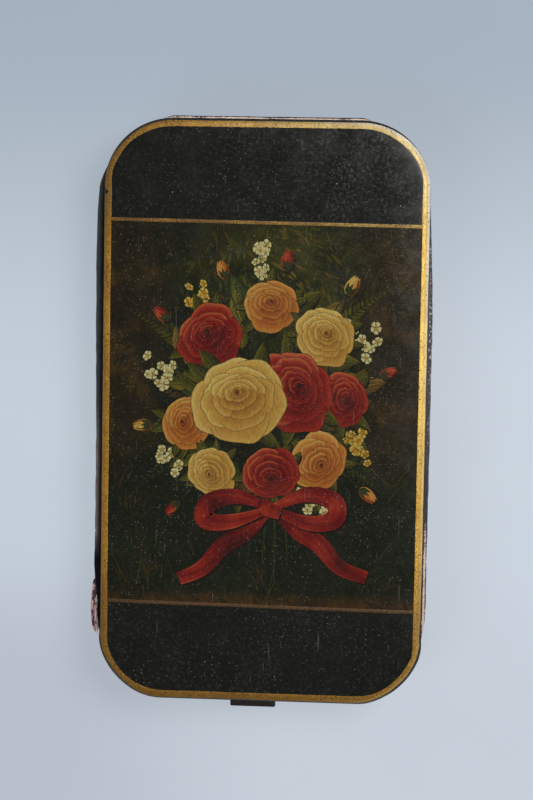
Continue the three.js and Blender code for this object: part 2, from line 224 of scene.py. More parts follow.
def make_piece(name, vertices, faces, material, colours=None, solid=True):
    """A mesh object from millimetre vertices, smooth but for sharp edges, a solid's faces turned outwards."""
    mesh = bpy.data.meshes.new(name)
    mesh.from_pydata((np.asarray(vertices, float) * MM).tolist(), [], faces)
    if solid:
        shape = bmesh.new()
        shape.from_mesh(mesh)
        bmesh.ops.recalc_face_normals(shape, faces=shape.faces)
        shape.to_mesh(mesh)
        shape.free()
    mesh.shade_smooth()
    mesh.set_sharp_from_angle(angle=radians(40))
    if colours is not None:
        rgba = np.ones((len(vertices), 4), np.float32)
        rgba[:, :3] = colours
        mesh.color_attributes.new("paint", "FLOAT_COLOR", "POINT").data.foreach_set("color", rgba.ravel())
    mesh.materials.append(material)
    piece = bpy.data.objects.new(name, mesh)
    bpy.context.scene.collection.objects.link(piece)
    return piece


def coating(name, points, material, faces, colours=None):
    """Gold or paint laid on the front cover."""
    piece = make_piece(name, points, faces, material, colours, solid=False)
    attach(piece, "front")


def soft_piece(piece, node):
    """Hand over a soft piece that opens between the covers."""
    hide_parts(node)
    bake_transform(piece)


def cover_piece(name, side, rings, material, part):
    """Hand over a piece of one cover, made as the back's and turned over for the front."""
    vertices, faces = tube(rings)
    if side == "front":
        vertices[:, 2] = THICKNESS - vertices[:, 2]
    piece = make_piece(name, vertices, faces, material)
    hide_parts(side + part)
    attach(piece, side)


def strip_faces(rows, columns, closed=False, start=0):
    """Quads that join rows of points to each other; closed joins each row's end to its start."""
    faces = []
    last = columns if closed else columns - 1
    for r in range(rows - 1):
        for c in range(last):
            d = (c + 1) % columns
            a = start + r * columns
            b = a + columns
            faces.append((a + c, a + d, b + d, b + c))
    return faces


def tube(rings, thin=False):
    """Vertices and faces of a closed tube. A thin one's ends are filled by strips from side to side."""
    count, vertices = len(rings[0]), np.concatenate(rings)
    faces = strip_faces(len(rings), count, closed=True)
    for start in (0, len(vertices) - count):
        if thin:
            for i in range(start, start + count // 2 - 1):
                j = 2 * start + count - 1 - i
                faces.append((i, i + 1, j - 1, j))
        else:
            faces.append(tuple(range(start, start + count)))
    return vertices, faces


def relaxed(line, rounds):
    """The same open line with its corners eased."""
    line = np.asarray(line, float)
    for _ in range(rounds):
        line[1:-1] = line[1:-1] * 0.5 + (line[:-2] + line[2:]) * 0.25
    return line


def spread_along(path, widths, count, rounds):
    """Points along a path of a few places, its corners eased, their places on it and their widths."""
    t = np.linspace(0, len(path) - 1, count)
    line = np.column_stack([np.interp(t, range(len(path)), part) for part in zip(*path)])
    return relaxed(line, rounds), t, np.interp(t, range(len(widths)), widths)


def thicken(line, thickness):
    """A closed section from an open centre line, half its thickness to either side."""
    line = np.asarray(line, float)
    step = np.gradient(line, axis=0)
    step /= np.maximum(np.hypot(*step.T), 1e-9)[:, None]
    normal = np.column_stack([-step[:, 1], step[:, 0]])
    return np.concatenate([line + normal * thickness / 2, (line - normal * thickness / 2)[::-1]])


def layer(outline, inset, height):
    """A closed anticlockwise outline moved inwards by a distance, at a height."""
    normals = []
    for side in (outline - np.roll(outline, 1, axis=0), np.roll(outline, -1, axis=0) - outline):
        unit = side / np.hypot(*side.T)[:, None]
        normals.append(np.column_stack([-unit[:, 1], unit[:, 0]]))
    bisector = normals[0] + normals[1]
    spread = np.maximum((bisector * normals[0]).sum(axis=1), 0.3)[:, None]
    return np.column_stack([outline + inset * bisector / spread, np.full(len(outline), height)])


def arc(cx, cy, radius, start, steps=10):
    angles = start + np.linspace(0, pi / 2, steps)
    return [(cx + radius * cos(a), cy + radius * sin(a)) for a in angles]


# The cover's outline and face


def outline_stations(step, extra_mouth=()):
    """Points and outward normals on the cover's outline, anticlockwise from the low end of the right side."""
    top, low = HALF_LENGTH - HINGE_CORNER, MOUTH_CORNER - HALF_LENGTH
    hinge, mouth = HALF_WIDTH - HINGE_CORNER, HALF_WIDTH - MOUTH_CORNER

    def spaced(start, end):
        return np.linspace(start, end, round(abs(end - start) / step) + 1)

    right = [(HALF_WIDTH, y) for y in spaced(low, top)]
    hinge_end = [(x, HALF_LENGTH) for x in spaced(hinge, -hinge)]
    left = [(-HALF_WIDTH, y) for y in spaced(top, low)]
    mouth_end = [(x, -HALF_LENGTH) for x in np.unique([*spaced(-mouth, mouth), *extra_mouth])]
    points, normals = [], []
    for k, (straight, normal, cx, cy, radius) in enumerate((
        (right, (1.0, 0.0), hinge, top, HINGE_CORNER),
        (hinge_end, (0.0, 1.0), -hinge, top, HINGE_CORNER),
        (left, (-1.0, 0.0), -mouth, low, MOUTH_CORNER),
        (mouth_end, (0.0, -1.0), mouth, low, MOUTH_CORNER),
    )):
        turn = round(radius * pi / 2 / step)
        points += straight
        normals += [normal] * len(straight)
        points += arc(cx, cy, radius, k * pi / 2, turn + 1)[1:-1]
        normals += arc(0.0, 0.0, 1.0, k * pi / 2, turn + 1)[1:-1]
    return np.array(points), np.array(normals)


CROWN_TILT = atan(2 * CROWN_DROP / CROWN_WIDTH)
EDGE_RADIUS = EDGE_WIDTH / (1 - sin(CROWN_TILT))


def face_drop(inset):
    """How far the face lies below its flat middle, at a distance in from the edge."""
    d = np.asarray(inset, float)
    crown = CROWN_DROP * np.clip(1 - (d - EDGE_WIDTH) / CROWN_WIDTH, 0, 1) ** 2
    sine = np.clip(1 - np.clip(d, 0, EDGE_WIDTH) / EDGE_RADIUS, 0, 1)
    edge = CROWN_DROP + EDGE_RADIUS * (cos(CROWN_TILT) - np.sqrt(1 - sine * sine))
    return np.where(d >= EDGE_WIDTH, crown, edge)


def facing_of(normals):
    """The way each normal faces, from 0 to 360 degrees."""
    return np.degrees(np.arctan2(normals[:, 1], normals[:, 0])) % 360


def swollen(inset, points, normals):
    """Insets moved out to the fuller edge round the mouth, and left alone further in."""
    facing = facing_of(normals)
    facing = np.where((facing == 0) & (points[:, 1] < 0), 360, facing)
    reach = np.interp(facing, *zip(*MOUTH_SWELL)) * smoothstep((SWELL_PLACE - points[:, 1]) / SWELL_FADE)
    return inset - reach * np.clip(1 - inset / SWELL_WIDTH, 0, 1) ** 1.5


def inset_of(x, y):
    """Distance in from the cover's outline at a point on the face."""
    radius = np.where(np.asarray(y) > 0, HINGE_CORNER, MOUTH_CORNER)
    qx = np.abs(x) - (HALF_WIDTH - radius)
    qy = np.abs(y) - (HALF_LENGTH - radius)
    outside = np.hypot(np.maximum(qx, 0), np.maximum(qy, 0))
    return radius - (outside + np.minimum(np.maximum(qx, qy), 0))


def on_face(x, y, lift):
    """Points on the front face at these places across and along, lifted a little clear of it."""
    return np.column_stack([x, y, THICKNESS - face_drop(inset_of(x, y)) + lift])


# Node graphs


def math_node(operation):
    """A method that joins a value to another by a math node."""
    return lambda value, other=0.0: value.graph.math(operation, value, other)


class Value:
    """A number or a colour inside a node graph. under is 1 where a value is less than the other."""

    __mul__, __add__, __sub__, __abs__ = map(math_node, ("MULTIPLY", "ADD", "SUBTRACT", "ABSOLUTE"))
    most, least, under = map(math_node, ("MAXIMUM", "MINIMUM", "LESS_THAN"))

    def __init__(self, graph, socket):
        self.graph, self.socket = graph, socket

    def __rsub__(self, other):
        return self.graph.math("SUBTRACT", other, self)

    def ramp(self, low, high, to_low=0.0, to_high=1.0, curve="SMOOTHSTEP"):
        """This value's share of the way from low to high, as a share of the way between two others."""
        inputs = dict(enumerate((self, low, high, to_low, to_high)))
        return self.graph.add("MapRange", inputs, interpolation_type=curve)

    def beside(self, output):
        """Another output of the same node."""
        return Value(self.graph, self.socket.node.outputs[output])

    def parts(self):
        """A colour's red, green and blue."""
        red = self.graph.add("SeparateColor", {0: self})
        return red, red.beside(1), red.beside(2)


class Graph:
    """A material's node graph. Lengths are in millimetres, and colours are written as 0 to 255 values."""

    def __init__(self, name):
        self.material = bpy.data.materials.new(name)
        self.material.use_nodes = True
        self.tree = self.material.node_tree
        self.tree.nodes.clear()
        output = self.tree.nodes.new("ShaderNodeOutputMaterial")
        self.shader = self.tree.nodes.new("ShaderNodeBsdfPrincipled")
        self.tree.links.new(self.shader.outputs["BSDF"], output.inputs["Surface"])
        self.place = self.add("TexCoord", {}, "Object")

    def put(self, socket, value):
        if isinstance(value, Value):
            self.tree.links.new(value.socket, socket)
        else:
            socket.default_value = value

    def add(self, kind, inputs, output=0, **settings):
        """One output of a new node with these inputs and settings."""
        node = self.tree.nodes.new("ShaderNode" + kind)
        for name, value in settings.items():
            setattr(node, name, value)
        for key, value in inputs.items():
            self.put(node.inputs[key], value)
        return Value(self, node.outputs[output])

    def axes(self):
        """How far across and how far along the case."""
        return (self.math("DIVIDE", self.add("SeparateXYZ", {0: self.place}, axis), MM) for axis in "XY")

    def painted(self):
        return self.add("Attribute", {}, "Color", attribute_name="paint")

    def surface(self, **values):
        for name, value in values.items():
            self.put(self.shader.inputs[name.replace("_", " ")], value)

    def math(self, operation, a, b=0.0):
        return self.add("Math", {0: a, 1: b}, operation=operation)

    def mix(self, factor, a, b, blend="MIX"):
        """A colour between a and b, each a Value or a colour's 0 to 255 values."""
        a, b = (colour if isinstance(colour, Value) else (*linear(colour), 1.0) for colour in (a, b))
        return self.add("Mix", {"Factor": factor, 6: a, 7: b}, 2, data_type="RGBA", blend_type=blend)

    def stretched(self, scale, turn=0.0):
        """The place on the case, scaled and then turned about the upright axis."""
        return self.add("Mapping", {"Vector": self.place, "Scale": scale, "Rotation": (0, 0, turn)})

    def noise(self, size, detail=3.0, rough=0.55, place=None, distortion=0.0):
        """Fractal noise from 0 to 1, with features of a size."""
        inputs = {"Detail": detail, "Roughness": rough, "Distortion": distortion}
        return self.add("TexNoise", {"Vector": place or self.place, "Scale": 1 / (size * MM), **inputs})

    def cells(self, size, feature="F1"):
        """The distance to the middle of the nearest cell, in cells."""
        return self.add("TexVoronoi", {"Vector": self.place, "Scale": 1 / (size * MM)}, feature=feature)

    def bump(self, height, strength, distance, base=None):
        inputs = {"Height": height, "Strength": strength, "Distance": distance * MM}
        return self.add("Bump", inputs if base is None else {**inputs, "Normal": base})


def specks(graph, spacing, radius, share):
    """Scattered dots: a mask that is 1 inside them. share is how many cells hold one."""
    distance = graph.cells(spacing)
    size, chance, _ = distance.beside("Color").parts()
    dot = distance.under(size.ramp(0.0, 1.0, radius * 0.45 / spacing, radius / spacing, "LINEAR"))
    return dot * chance.under(share)


def lacquer_finish(graph, colour, film_tone):
    """The old varnish over the black ground and the paint alike: haze, dust, hairlines and ripples, the haze
    painted stronger towards the top right as a painted reflection.
    """
    x, y = graph.axes()
    lit_corner = (x.ramp(-40.0, 42.0) * y.ramp(-75.0, 75.0)).ramp(0.1, 1.0, 0.32, 1.0)
    film = graph.noise(9.0, 4.0, 0.6).ramp(0.35, 0.75) * 0.6 + 0.4
    film = film * graph.noise(0.8, 5.0, 0.85).ramp(0.47, 0.68)
    # Painted reflection: the haze film is laid on more strongly towards the top right corner.
    tone = graph.mix(film * (lit_corner * 0.14), colour, film_tone)
    dust = (specks(graph, 0.6, 0.18, 0.4) * 0.075).most(specks(graph, 2.4, 0.18, 0.38) * 0.19)
    dust = dust * graph.noise(14.0, 2.0).ramp(0.38, 0.62, 0.35, 1.0)
    tone = graph.mix(dust, tone, (214, 212, 200))
    hairlines = []
    for turn, patch in ((0.5, 6.0), (-0.9, 10.0), (1.4, 15.0)):
        streak = graph.noise(0.55, 1.0, 0.4, graph.stretched((1.0, 0.045, 1.0), turn))
        hairlines.append(streak.ramp(0.72, 0.78) * graph.noise(patch, 1.0).ramp(0.52, 0.62))
    hairline = hairlines[0].most(hairlines[1]).most(hairlines[2])
    tone = graph.mix(hairline * 0.06, tone, (190, 190, 186))
    ripple = graph.bump(graph.noise(7.0, 2.0, 0.4), 0.25, 0.035)
    skin = graph.bump(graph.noise(0.5, 3.0, 0.6), 0.2, 0.008, ripple)
    relief = graph.bump(dust - hairline, 0.5, 0.01, skin)
    level = abs(graph.add("SeparateXYZ", {0: graph.add("TexCoord", {}, "Normal")}, "Z"))
    gloss = level.ramp(0.3, 0.85, 0.2, 1.0)
    rough = graph.noise(5.0, 4.0).ramp(0.3, 0.7, 0.2, 0.3).most(level.ramp(0.3, 0.85, 0.65, 0.2))
    graph.surface(Base_Color=tone, Roughness=rough, Normal=relief)
    graph.surface(Coat_Weight=gloss * 0.1, Coat_Roughness=0.1, Specular_IOR_Level=gloss * 0.45)
    return graph.material


def black_lacquer():
    """Black lacquer that has rubbed through to brown board along the cover's edges."""
    graph = Graph("black_lacquer")
    tone = graph.mix(graph.noise(20.0, 3.0), (5, 6, 3), (12, 13, 8))
    x, y = graph.axes()
    near_edge = (HALF_WIDTH - abs(x)).least(HALF_LENGTH - abs(y)).ramp(0.0, 0.5, 1.0, 0.0)
    worn = near_edge * graph.noise(1.6, 5.0, 0.7).ramp(0.6, 0.68)
    board = graph.mix(graph.noise(0.6, 3.0), (62, 38, 26), (108, 74, 54))
    return lacquer_finish(graph, graph.mix(worn * 0.75, tone, board), (178, 180, 170))


def paint():
    """Oil colours under the varnish, taken from the brush strokes' own colours."""
    graph = Graph("flower_paint")
    streaks = graph.noise(0.35, 3.0, 0.6, graph.stretched((1.0, 0.35, 1.0), 0.6))
    brushed = graph.mix(streaks.ramp(0.25, 0.75, 0.0, 0.35), graph.painted(), (0, 0, 0))
    return lacquer_finish(graph, graph.mix(1.0, brushed, AGED_VARNISH, "MULTIPLY"), (164, 148, 92))


def shell_gold(name, rub):
    """Powdered gold laid on the lacquer, pitted and rubbed back to black in places, the more so as rub grows.

    It is painted brightest to the right, with a pale painted reflection at the top right and painted shade
    that dulls it at the mouth and the top left corner.
    Red in its paint colour is the outer rim, which shines white at the top right.
    """
    graph = Graph(name)
    x, y = graph.axes()
    # Painted light: brighter towards the right and upwards, with a random mottle on top.
    lit_and_mottled = x.ramp(-30.0, 42.0) * (y.ramp(-64.0, -36.0, 0.0, 0.4) + y.ramp(-35.0, 35.0, 0.0, 0.4))
    lit_and_mottled = lit_and_mottled + graph.noise(2.2, 4.0, 0.6).ramp(0.2, 0.8, -0.14, 0.14)
    lit_and_mottled = lit_and_mottled + graph.noise(0.3, 3.0, 0.85).ramp(0.3, 0.7, -0.5, 0.5)
    tone = graph.mix(lit_and_mottled, (172, 117, 19), (244, 202, 94))
    # Painted reflection: paler towards the top, the more so towards the right.
    tone = graph.mix(y.ramp(36.0, 60.0) * x.ramp(-26.0, 36.0, 0.05, 0.6), tone, (230, 216, 166))
    rim = graph.painted().parts()[0].ramp(0.05, 0.65, 0.0, 0.95)
    shine = y.ramp(-60.0, 10.0, 0.32, 1.0) * x.ramp(8.0, 34.0) * rim
    tone = graph.mix(shine, tone, graph.mix(y.ramp(-5.0, 36.0), (255, 226, 140), (255, 252, 236)))
    # Painted shade: duller at the mouth and at the top left corner, and rub adds real wear to it.
    top_left_shade = x.ramp(-10.0, -34.0, 0.2, 0.5) * y.ramp(28.0, 50.0)
    mouth = x.ramp(-30.0, 36.0, 1.0, 0.8) * y.ramp(-47.0, -30.0, 0.54, 0.0)
    shade_and_wear = mouth.most(top_left_shade).most(0.62 * rub)
    tone = graph.mix(shade_and_wear, tone, (60, 42, 22))
    tone = graph.mix(graph.noise(0.34, 3.0, 0.9).ramp(0.5, 0.62, 0.0, 0.42), tone, (84, 56, 16))
    sparkle = graph.noise(0.32, 2.0, 0.8).ramp(0.54, 0.64, 0.0, 0.34)
    tone = graph.mix(sparkle, tone, graph.mix(shade_and_wear, (250, 214, 128), (150, 112, 62)))
    # Painted light: a brighter band along the right border, from below the middle to near the top.
    middle = y.ramp(-18.0, 4.0) * y.ramp(46.0, 22.0, 0.0, 0.32) * x.ramp(22.0, 34.0)
    tone = graph.mix(middle, tone, (255, 224, 126))
    tone = graph.mix(graph.noise(6.0, 3.0).ramp(0.35, 0.75, 0.0, 0.2 + 0.6 * rub), tone, (96, 62, 30))
    thin = graph.noise(0.4, 4.0, 0.8).ramp(0.57 - 0.08 * rub, 0.68 - 0.08 * rub)
    bare = specks(graph, 0.5, 0.17, 0.5).most(thin * (0.55 + 0.3 * rub))
    metal = bare.most(shine).ramp(0.0, 1.0, 0.55, 0.0, "LINEAR")
    rough = graph.noise(0.8, 3.0).ramp(0.3, 0.7, 0.5, 0.66)
    relief = graph.bump(bare, 0.6, 0.01, graph.bump(graph.noise(0.25, 4.0, 0.7), 0.5, 0.012))
    graph.surface(Base_Color=graph.mix(bare, tone, (34, 24, 16)), Roughness=rough, Normal=relief)
    graph.surface(Metallic=metal, Coat_Weight=0.1, Coat_Roughness=0.2)
    return graph.material


def case_leather():
    """Dark plum leather, faded on the left, and scuffed high on the right with pale flecks that are also
    painted glints.

    In its paint colour red is wear, green turns what is worn bare from cream to pink, and blue is painted
    shade in the folds and the torn gap.
    """
    graph = Graph("case_leather")
    x, y = graph.axes()
    wear, pinkness, fold_and_gap_shade = graph.painted().parts()
    at_left = x.ramp(-30.0, -36.0)
    mottle = graph.noise(1.4, 5.0, 0.7)
    plum = graph.mix(mottle, (22, 20, 24), (66, 54, 62))
    faded = graph.mix(mottle, (24, 27, 26), (66, 72, 68))
    skin = graph.mix(at_left * y.ramp(-34.0, 0.0), plum, faded)
    upper_right = x.ramp(30.0, 36.0) * y.ramp(-20.0, 8.0, 0.0, 0.75)
    # Pale flecks on the fold tips high on the right: scuffs, and painted glints as well.
    scuffs_and_glints = graph.noise(0.5, 3.0, 0.75).ramp(0.54, 0.62) * wear.ramp(0.0, 0.08)
    skin = graph.mix(upper_right * scuffs_and_glints, skin, (206, 200, 200))
    lower_left = at_left * (y.ramp(-33.0, -29.5) * y.ramp(4.0, -12.0))
    dust = lower_left * fold_and_gap_shade.ramp(0.0, 0.6, 0.55, 0.1) * graph.noise(1.1, 4.0, 0.7).ramp(0.3, 0.7, 0.5, 1.0)
    skin = graph.mix(dust, skin, (146, 124, 112))
    # Painted shade: near black where the blue of the paint colour marks the folds and the torn gap.
    skin = graph.mix(fold_and_gap_shade * lower_left.ramp(0.0, 1.0, 1.0, 0.86, "LINEAR"), skin, (5, 4, 5))
    fibres = graph.noise(0.5, 4.0, 0.7)
    cream = graph.mix(fibres, (172, 142, 122), (242, 226, 210))
    pink = graph.mix(fibres, (120, 74, 84), (216, 168, 164))
    ragged = graph.noise(0.45, 5.0, 0.75).ramp(0.3, 0.7, -0.35, 0.35, "LINEAR")
    bared = (wear + ragged).ramp(0.42, 0.6)
    grain = graph.bump(graph.cells(0.42, "SMOOTH_F1"), 0.45, 0.05)
    creases = graph.bump(graph.noise(0.9, 4.0, 0.6, graph.stretched((3.0, 1.0, 3.0))), 0.4, 0.08, grain)
    graph.surface(Base_Color=graph.mix(bared, skin, graph.mix(pinkness, cream, pink)), Normal=creases)
    graph.surface(Roughness=bared.ramp(0.0, 1.0, 0.42, 0.85))
    graph.surface(Specular_IOR_Level=fold_and_gap_shade.ramp(0.0, 1.0, 0.5, 0.05))
    return graph.material


def lining_silk():
    """Faded crimson silk with a fine plain weave and a slight water mark."""
    graph = Graph("lining_silk")
    threads = []
    for turn in (0.0, pi / 2):
        inputs = {"Vector": graph.stretched((1, 1, 0), turn), "Scale": 1 / (0.9 * MM), "Distortion": 0.6}
        threads.append(graph.add("TexWave", inputs, "Fac"))
    weave = threads[0] * threads[1]
    mark = graph.noise(6.0, 3.0, 0.6, graph.stretched((1.0, 0.3, 1.0)), 1.2)
    tone = graph.mix(weave * 0.5, graph.mix(mark, (88, 26, 28), (134, 48, 46)), (160, 82, 74))
    graph.surface(Base_Color=tone, Roughness=0.6, Normal=graph.bump(weave, 0.5, 0.05))
    graph.surface(Sheen_Weight=0.3, Sheen_Roughness=0.4)
    return graph.material


def tarnished_steel():
    """Spring steel gone brown-grey, with rust in its low places."""
    graph = Graph("tarnished_steel")
    rust = graph.noise(0.8, 5.0, 0.75).ramp(0.5, 0.66)
    metal = graph.mix(graph.noise(1.3, 5.0, 0.7), (52, 45, 42), (98, 88, 80))
    brushed = graph.noise(0.3, 3.0, 0.6, graph.stretched((0.15, 1.0, 1.0)))
    tone = graph.mix(rust * 0.8, metal, (38, 26, 22))
    graph.surface(Base_Color=tone, Normal=graph.bump(brushed - rust, 0.4, 0.02))
    graph.surface(Metallic=rust.ramp(0.0, 1.0, 0.9, 0.25), Roughness=rust.ramp(0.0, 1.0, 0.38, 0.75))
    return graph.material


# Covers


def cover(name, side, material):
    """A dished cover: a crowned face, a rounded edge, and a rim that rises to a notched mouth."""
    hair = 0.02
    notch_half = TAB_HALF + TAB_CLEARANCE
    jumps = [TAB_MIDDLE + way * notch_half + d for way in (-1, 1) for d in (-hair, hair)]
    points, normals = outline_stations(COVER_STEP, jumps)
    notch = MIDDLE - TAB_THICKNESS / 2 - (TAB_CLEARANCE if side == "front" else TAB_SWING_ROOM)
    rise_low = -HALF_LENGTH + MOUTH_RIM_LENGTH + RIM_RISE_LENGTH
    rings = []

    def add_ring(inset, drop):
        flat = points - swollen(inset, points, normals)[:, None] * normals
        rings.append(np.column_stack([flat, np.broadcast_to(drop, len(flat))]))

    crown = [EDGE_WIDTH + CROWN_WIDTH * (1 - i / 12) for i in range(12)]
    for inset in crown + [EDGE_WIDTH * (1 - sin(pi / 2 * i / 8)) for i in range(9)]:
        add_ring(inset, face_drop(inset))
    corner = RIM_ROUND * (1 - sqrt(0.5))
    rounded = [(0.0, RIM_ROUND), (corner, corner), (RIM_ROUND, 0.0)]
    for inset, short in rounded + [(RIM_WALL - inset, short) for inset, short in rounded[::-1]]:
        x, y = (points - inset * normals).T
        depth = lerp(SIDE_RIM, MIDDLE - SEAM_GAP / 2, smoothstep((rise_low - y) / RIM_RISE_LENGTH))
        notched = (np.abs(x - TAB_MIDDLE) < notch_half) & (y < -HALF_LENGTH + RIM_WALL + 1)
        add_ring(inset, np.where(notched, notch, depth) - short)
    for a in np.linspace(0, pi / 2, 4):
        add_ring(RIM_WALL + FLOOR_COVE * (1 - cos(a)), BOARD + FLOOR_COVE * (1 - sin(a)))
    cover_piece(name, side, rings, material, "_cover")


# Gilding


def gilt_border(material):
    """The painted border: a band round the edge that wanders slightly and rises a hair over the lacquer."""
    points, normals = outline_stations(GILT_STEP)
    x, y = points.T
    along = np.concatenate([[0], np.cumsum(np.hypot(*np.diff(points, axis=0).T))])
    circle = [(9 * cos(a), 9 * sin(a)) for a in along / (along[-1] + GILT_STEP) * 2 * pi]
    wander = [[BORDER_WOBBLE * noise_at(*place, seed) for place in circle] for seed in (1.7, 5.2)]
    facing = facing_of(normals)
    places, outer, inner = zip(*BORDER)
    outer = np.interp(facing, places, outer) + 0.6 * np.array(wander[0])
    outer += CHIP_DEPTH * bell(y, CHIP_PLACE, CHIP_WIDTH) * (x < 0)
    outer += LEAVING * smoothstep((LEAVING_PLACE - y) / LEAVING_FADE) * (normals[:, 0] == 1.0)
    inner = np.interp(facing, places, inner) + wander[1]
    rows, colours = [], []
    hair = 0.01
    for i in range(BORDER_ROWS + 1):
        inset = lerp(np.maximum(outer, 0.02), inner, (i / BORDER_ROWS) ** 1.9)
        rise = (face_drop(inset) - face_drop(inset + hair)) / hair
        leaning = (GILD_SUNK if i in (0, BORDER_ROWS) else GILD_HEIGHT) / np.hypot(1, rise)
        flat = points - (swollen(inset, points, normals) - leaning * rise)[:, None] * normals
        rows.append(np.column_stack([flat, THICKNESS - face_drop(inset) + leaning]))
        colours.append(np.outer(np.clip(1 - (inset - outer) / RIM_SHINE, 0, 1), (1, 0, 0)))
    faces = strip_faces(len(rows), len(points), closed=True)
    coating("gilt_border", np.concatenate(rows), material, faces, np.concatenate(colours))


def line_height(ends, x):
    """The height of a gold line's middle along the case. The ruler lay a little askew."""
    return lerp(ends[0], ends[1], (x + HALF_WIDTH) / (2 * HALF_WIDTH))


def gilt_line(name, ends, seed, material):
    """A thin ruled line across the face, from border to border."""
    reach = HALF_WIDTH - PANEL_INSET + 0.3
    x = np.linspace(-reach, reach, 160)
    rows = []
    for share in (0.0, 0.1, 0.5, 0.9, 1.0):
        ragged = np.array([LINE_WOBBLE * wave(v, seed + (share > 0.5), 3.0) for v in x])
        y = line_height(ends, x) + lerp(-LINE_WIDTH / 2, LINE_WIDTH / 2, share) + ragged
        rows.append(on_face(x, y, GILD_SUNK if share in (0.0, 1.0) else GILD_HEIGHT))
    coating(name, np.concatenate(rows), material, strip_faces(len(rows), len(x)))


# Leather


def pleat_line(reach, depth, sag):
    """The centre line of the pleated ribbon, as distance out from the cover's edge and height."""
    knee = -RIM_WALL - FIT_GAP - LEATHER / 2
    low = BOARD + LEATHER / 2
    flange = [(knee - FLANGE + LEATHER, low), (knee - FLANGE / 2, low), (knee - 0.7, low)]
    flange += [(knee - 0.1, low + 0.35), (knee, low + 0.8), (knee, SIDE_RIM + FIT_GAP)]
    swing = max((depth - LEATHER) / 2, 0.05)
    folds = []
    for theta in np.linspace(-0.42 * pi, 4.42 * pi, 95):
        blunt = tanh(1.5 * cos(theta)) / tanh(1.5)
        height = MIDDLE + FOLD_PITCH * (theta / pi + 0.1 * sin(2 * theta) - 2)
        folds.append((reach - depth / 2 + swing * blunt + sag * sin(theta / 2.5), height))
    return relaxed(flange + folds + [(out, THICKNESS - z) for out, z in flange[::-1]], 3)


def gusset(name, side, edge, material):
    """One leather side: pleats up the long side, and round the hinge corner as a shallow ripple."""
    side_end = HALF_LENGTH - HINGE_CORNER
    mouth_end = -HALF_LENGTH + MOUTH_RIM_LENGTH + RIM_RISE_LENGTH + FIT_GAP
    straight = [(y, 0.0) for y in np.linspace(mouth_end, side_end, 150)]
    bend = [(side_end, a) for a in np.linspace(0, pi / 2, 26)[1:]]
    at_left = side < 0
    rings, colours = [], []
    for y, angle in straight + bend:
        run = y + HINGE_CORNER * angle
        near = y + HINGE_CORNER * sin(angle) + np.arange(-2, 3)
        reach = float(np.interp(near, *zip(*edge)).mean())
        wander = 0.06 * wave(run, side + 2, 9.0) + 0.1 * wave(run, side + 4, 3.5)
        out = max(reach, -HINGE_SETBACK) + wander * smoothstep(reach + HINGE_SETBACK)
        depth = lerp(MOUTH_FOLD_DEPTH, HINGE_FOLD_DEPTH, (y - mouth_end) / (side_end - mouth_end))
        section = thicken(pleat_line(out, depth, 0.12 * wave(run, side + 7, 9.0)), LEATHER)
        lump = np.array([0.05 * noise_at(n * 0.9, z * 0.9, run * 0.5 + side * 9) for n, z in section])
        past, height = section.T
        distance = HINGE_CORNER + past + lump
        x = side * (HALF_WIDTH - HINGE_CORNER + distance * cos(angle))
        rings.append(np.column_stack([x, y + distance * sin(angle), height + lump * 0.6]))

        # Wear on the fold tips and on a ridge near the front, and painted shade in the folds and in the gap
        # at the torn low end on the left.
        bulging = 0.4 + 0.6 * smoothstep(reach)
        rubbed = 0.5 + 0.8 * wave(run, side + 11, 11.0) + 0.5 * wave(run, side + 15, 2.4)
        near_front = np.clip(height - EDGE_HEIGHT, 0, 1)
        nick = 0.65 * bell(y, NICK_PLACE, NICK_WIDTH) * at_left
        worn_tip = bulging * (0.16 + 0.26 * rubbed) + nick * near_front
        tips = np.clip((past - out) / TIP_WIDTH + 1, 0, 1) * worn_tip
        low_end = smoothstep((-20.0 - y) / 10.0) * (0.1 if at_left else 1.0)
        ridge = bell(past, WORN_RIDGE, RIDGE_WIDTH) * low_end * (0.6 + 0.55 * rubbed) * near_front
        # Painted shade: dark in the folds away from their tips, and in the gap at the torn low end on the
        # left.
        shaded = 1 - smoothstep((past - 0.1) / max(out - 0.35, 0.3))
        torn_gap_shade = 0.85 * smoothstep((-32.0 - y) / 4.0) * at_left
        fold_and_gap_shade = np.maximum(shaded * bulging * (1.0 if at_left else 0.5), torn_gap_shade)
        colours.append(np.column_stack([tips + ridge, np.full(len(fold_and_gap_shade), 0.3), fold_and_gap_shade]))
    piece = make_piece(name, *tube(rings, thin=True), material, np.concatenate(colours))
    soft_piece(piece, "left_gusset" if at_left else "right_gusset")


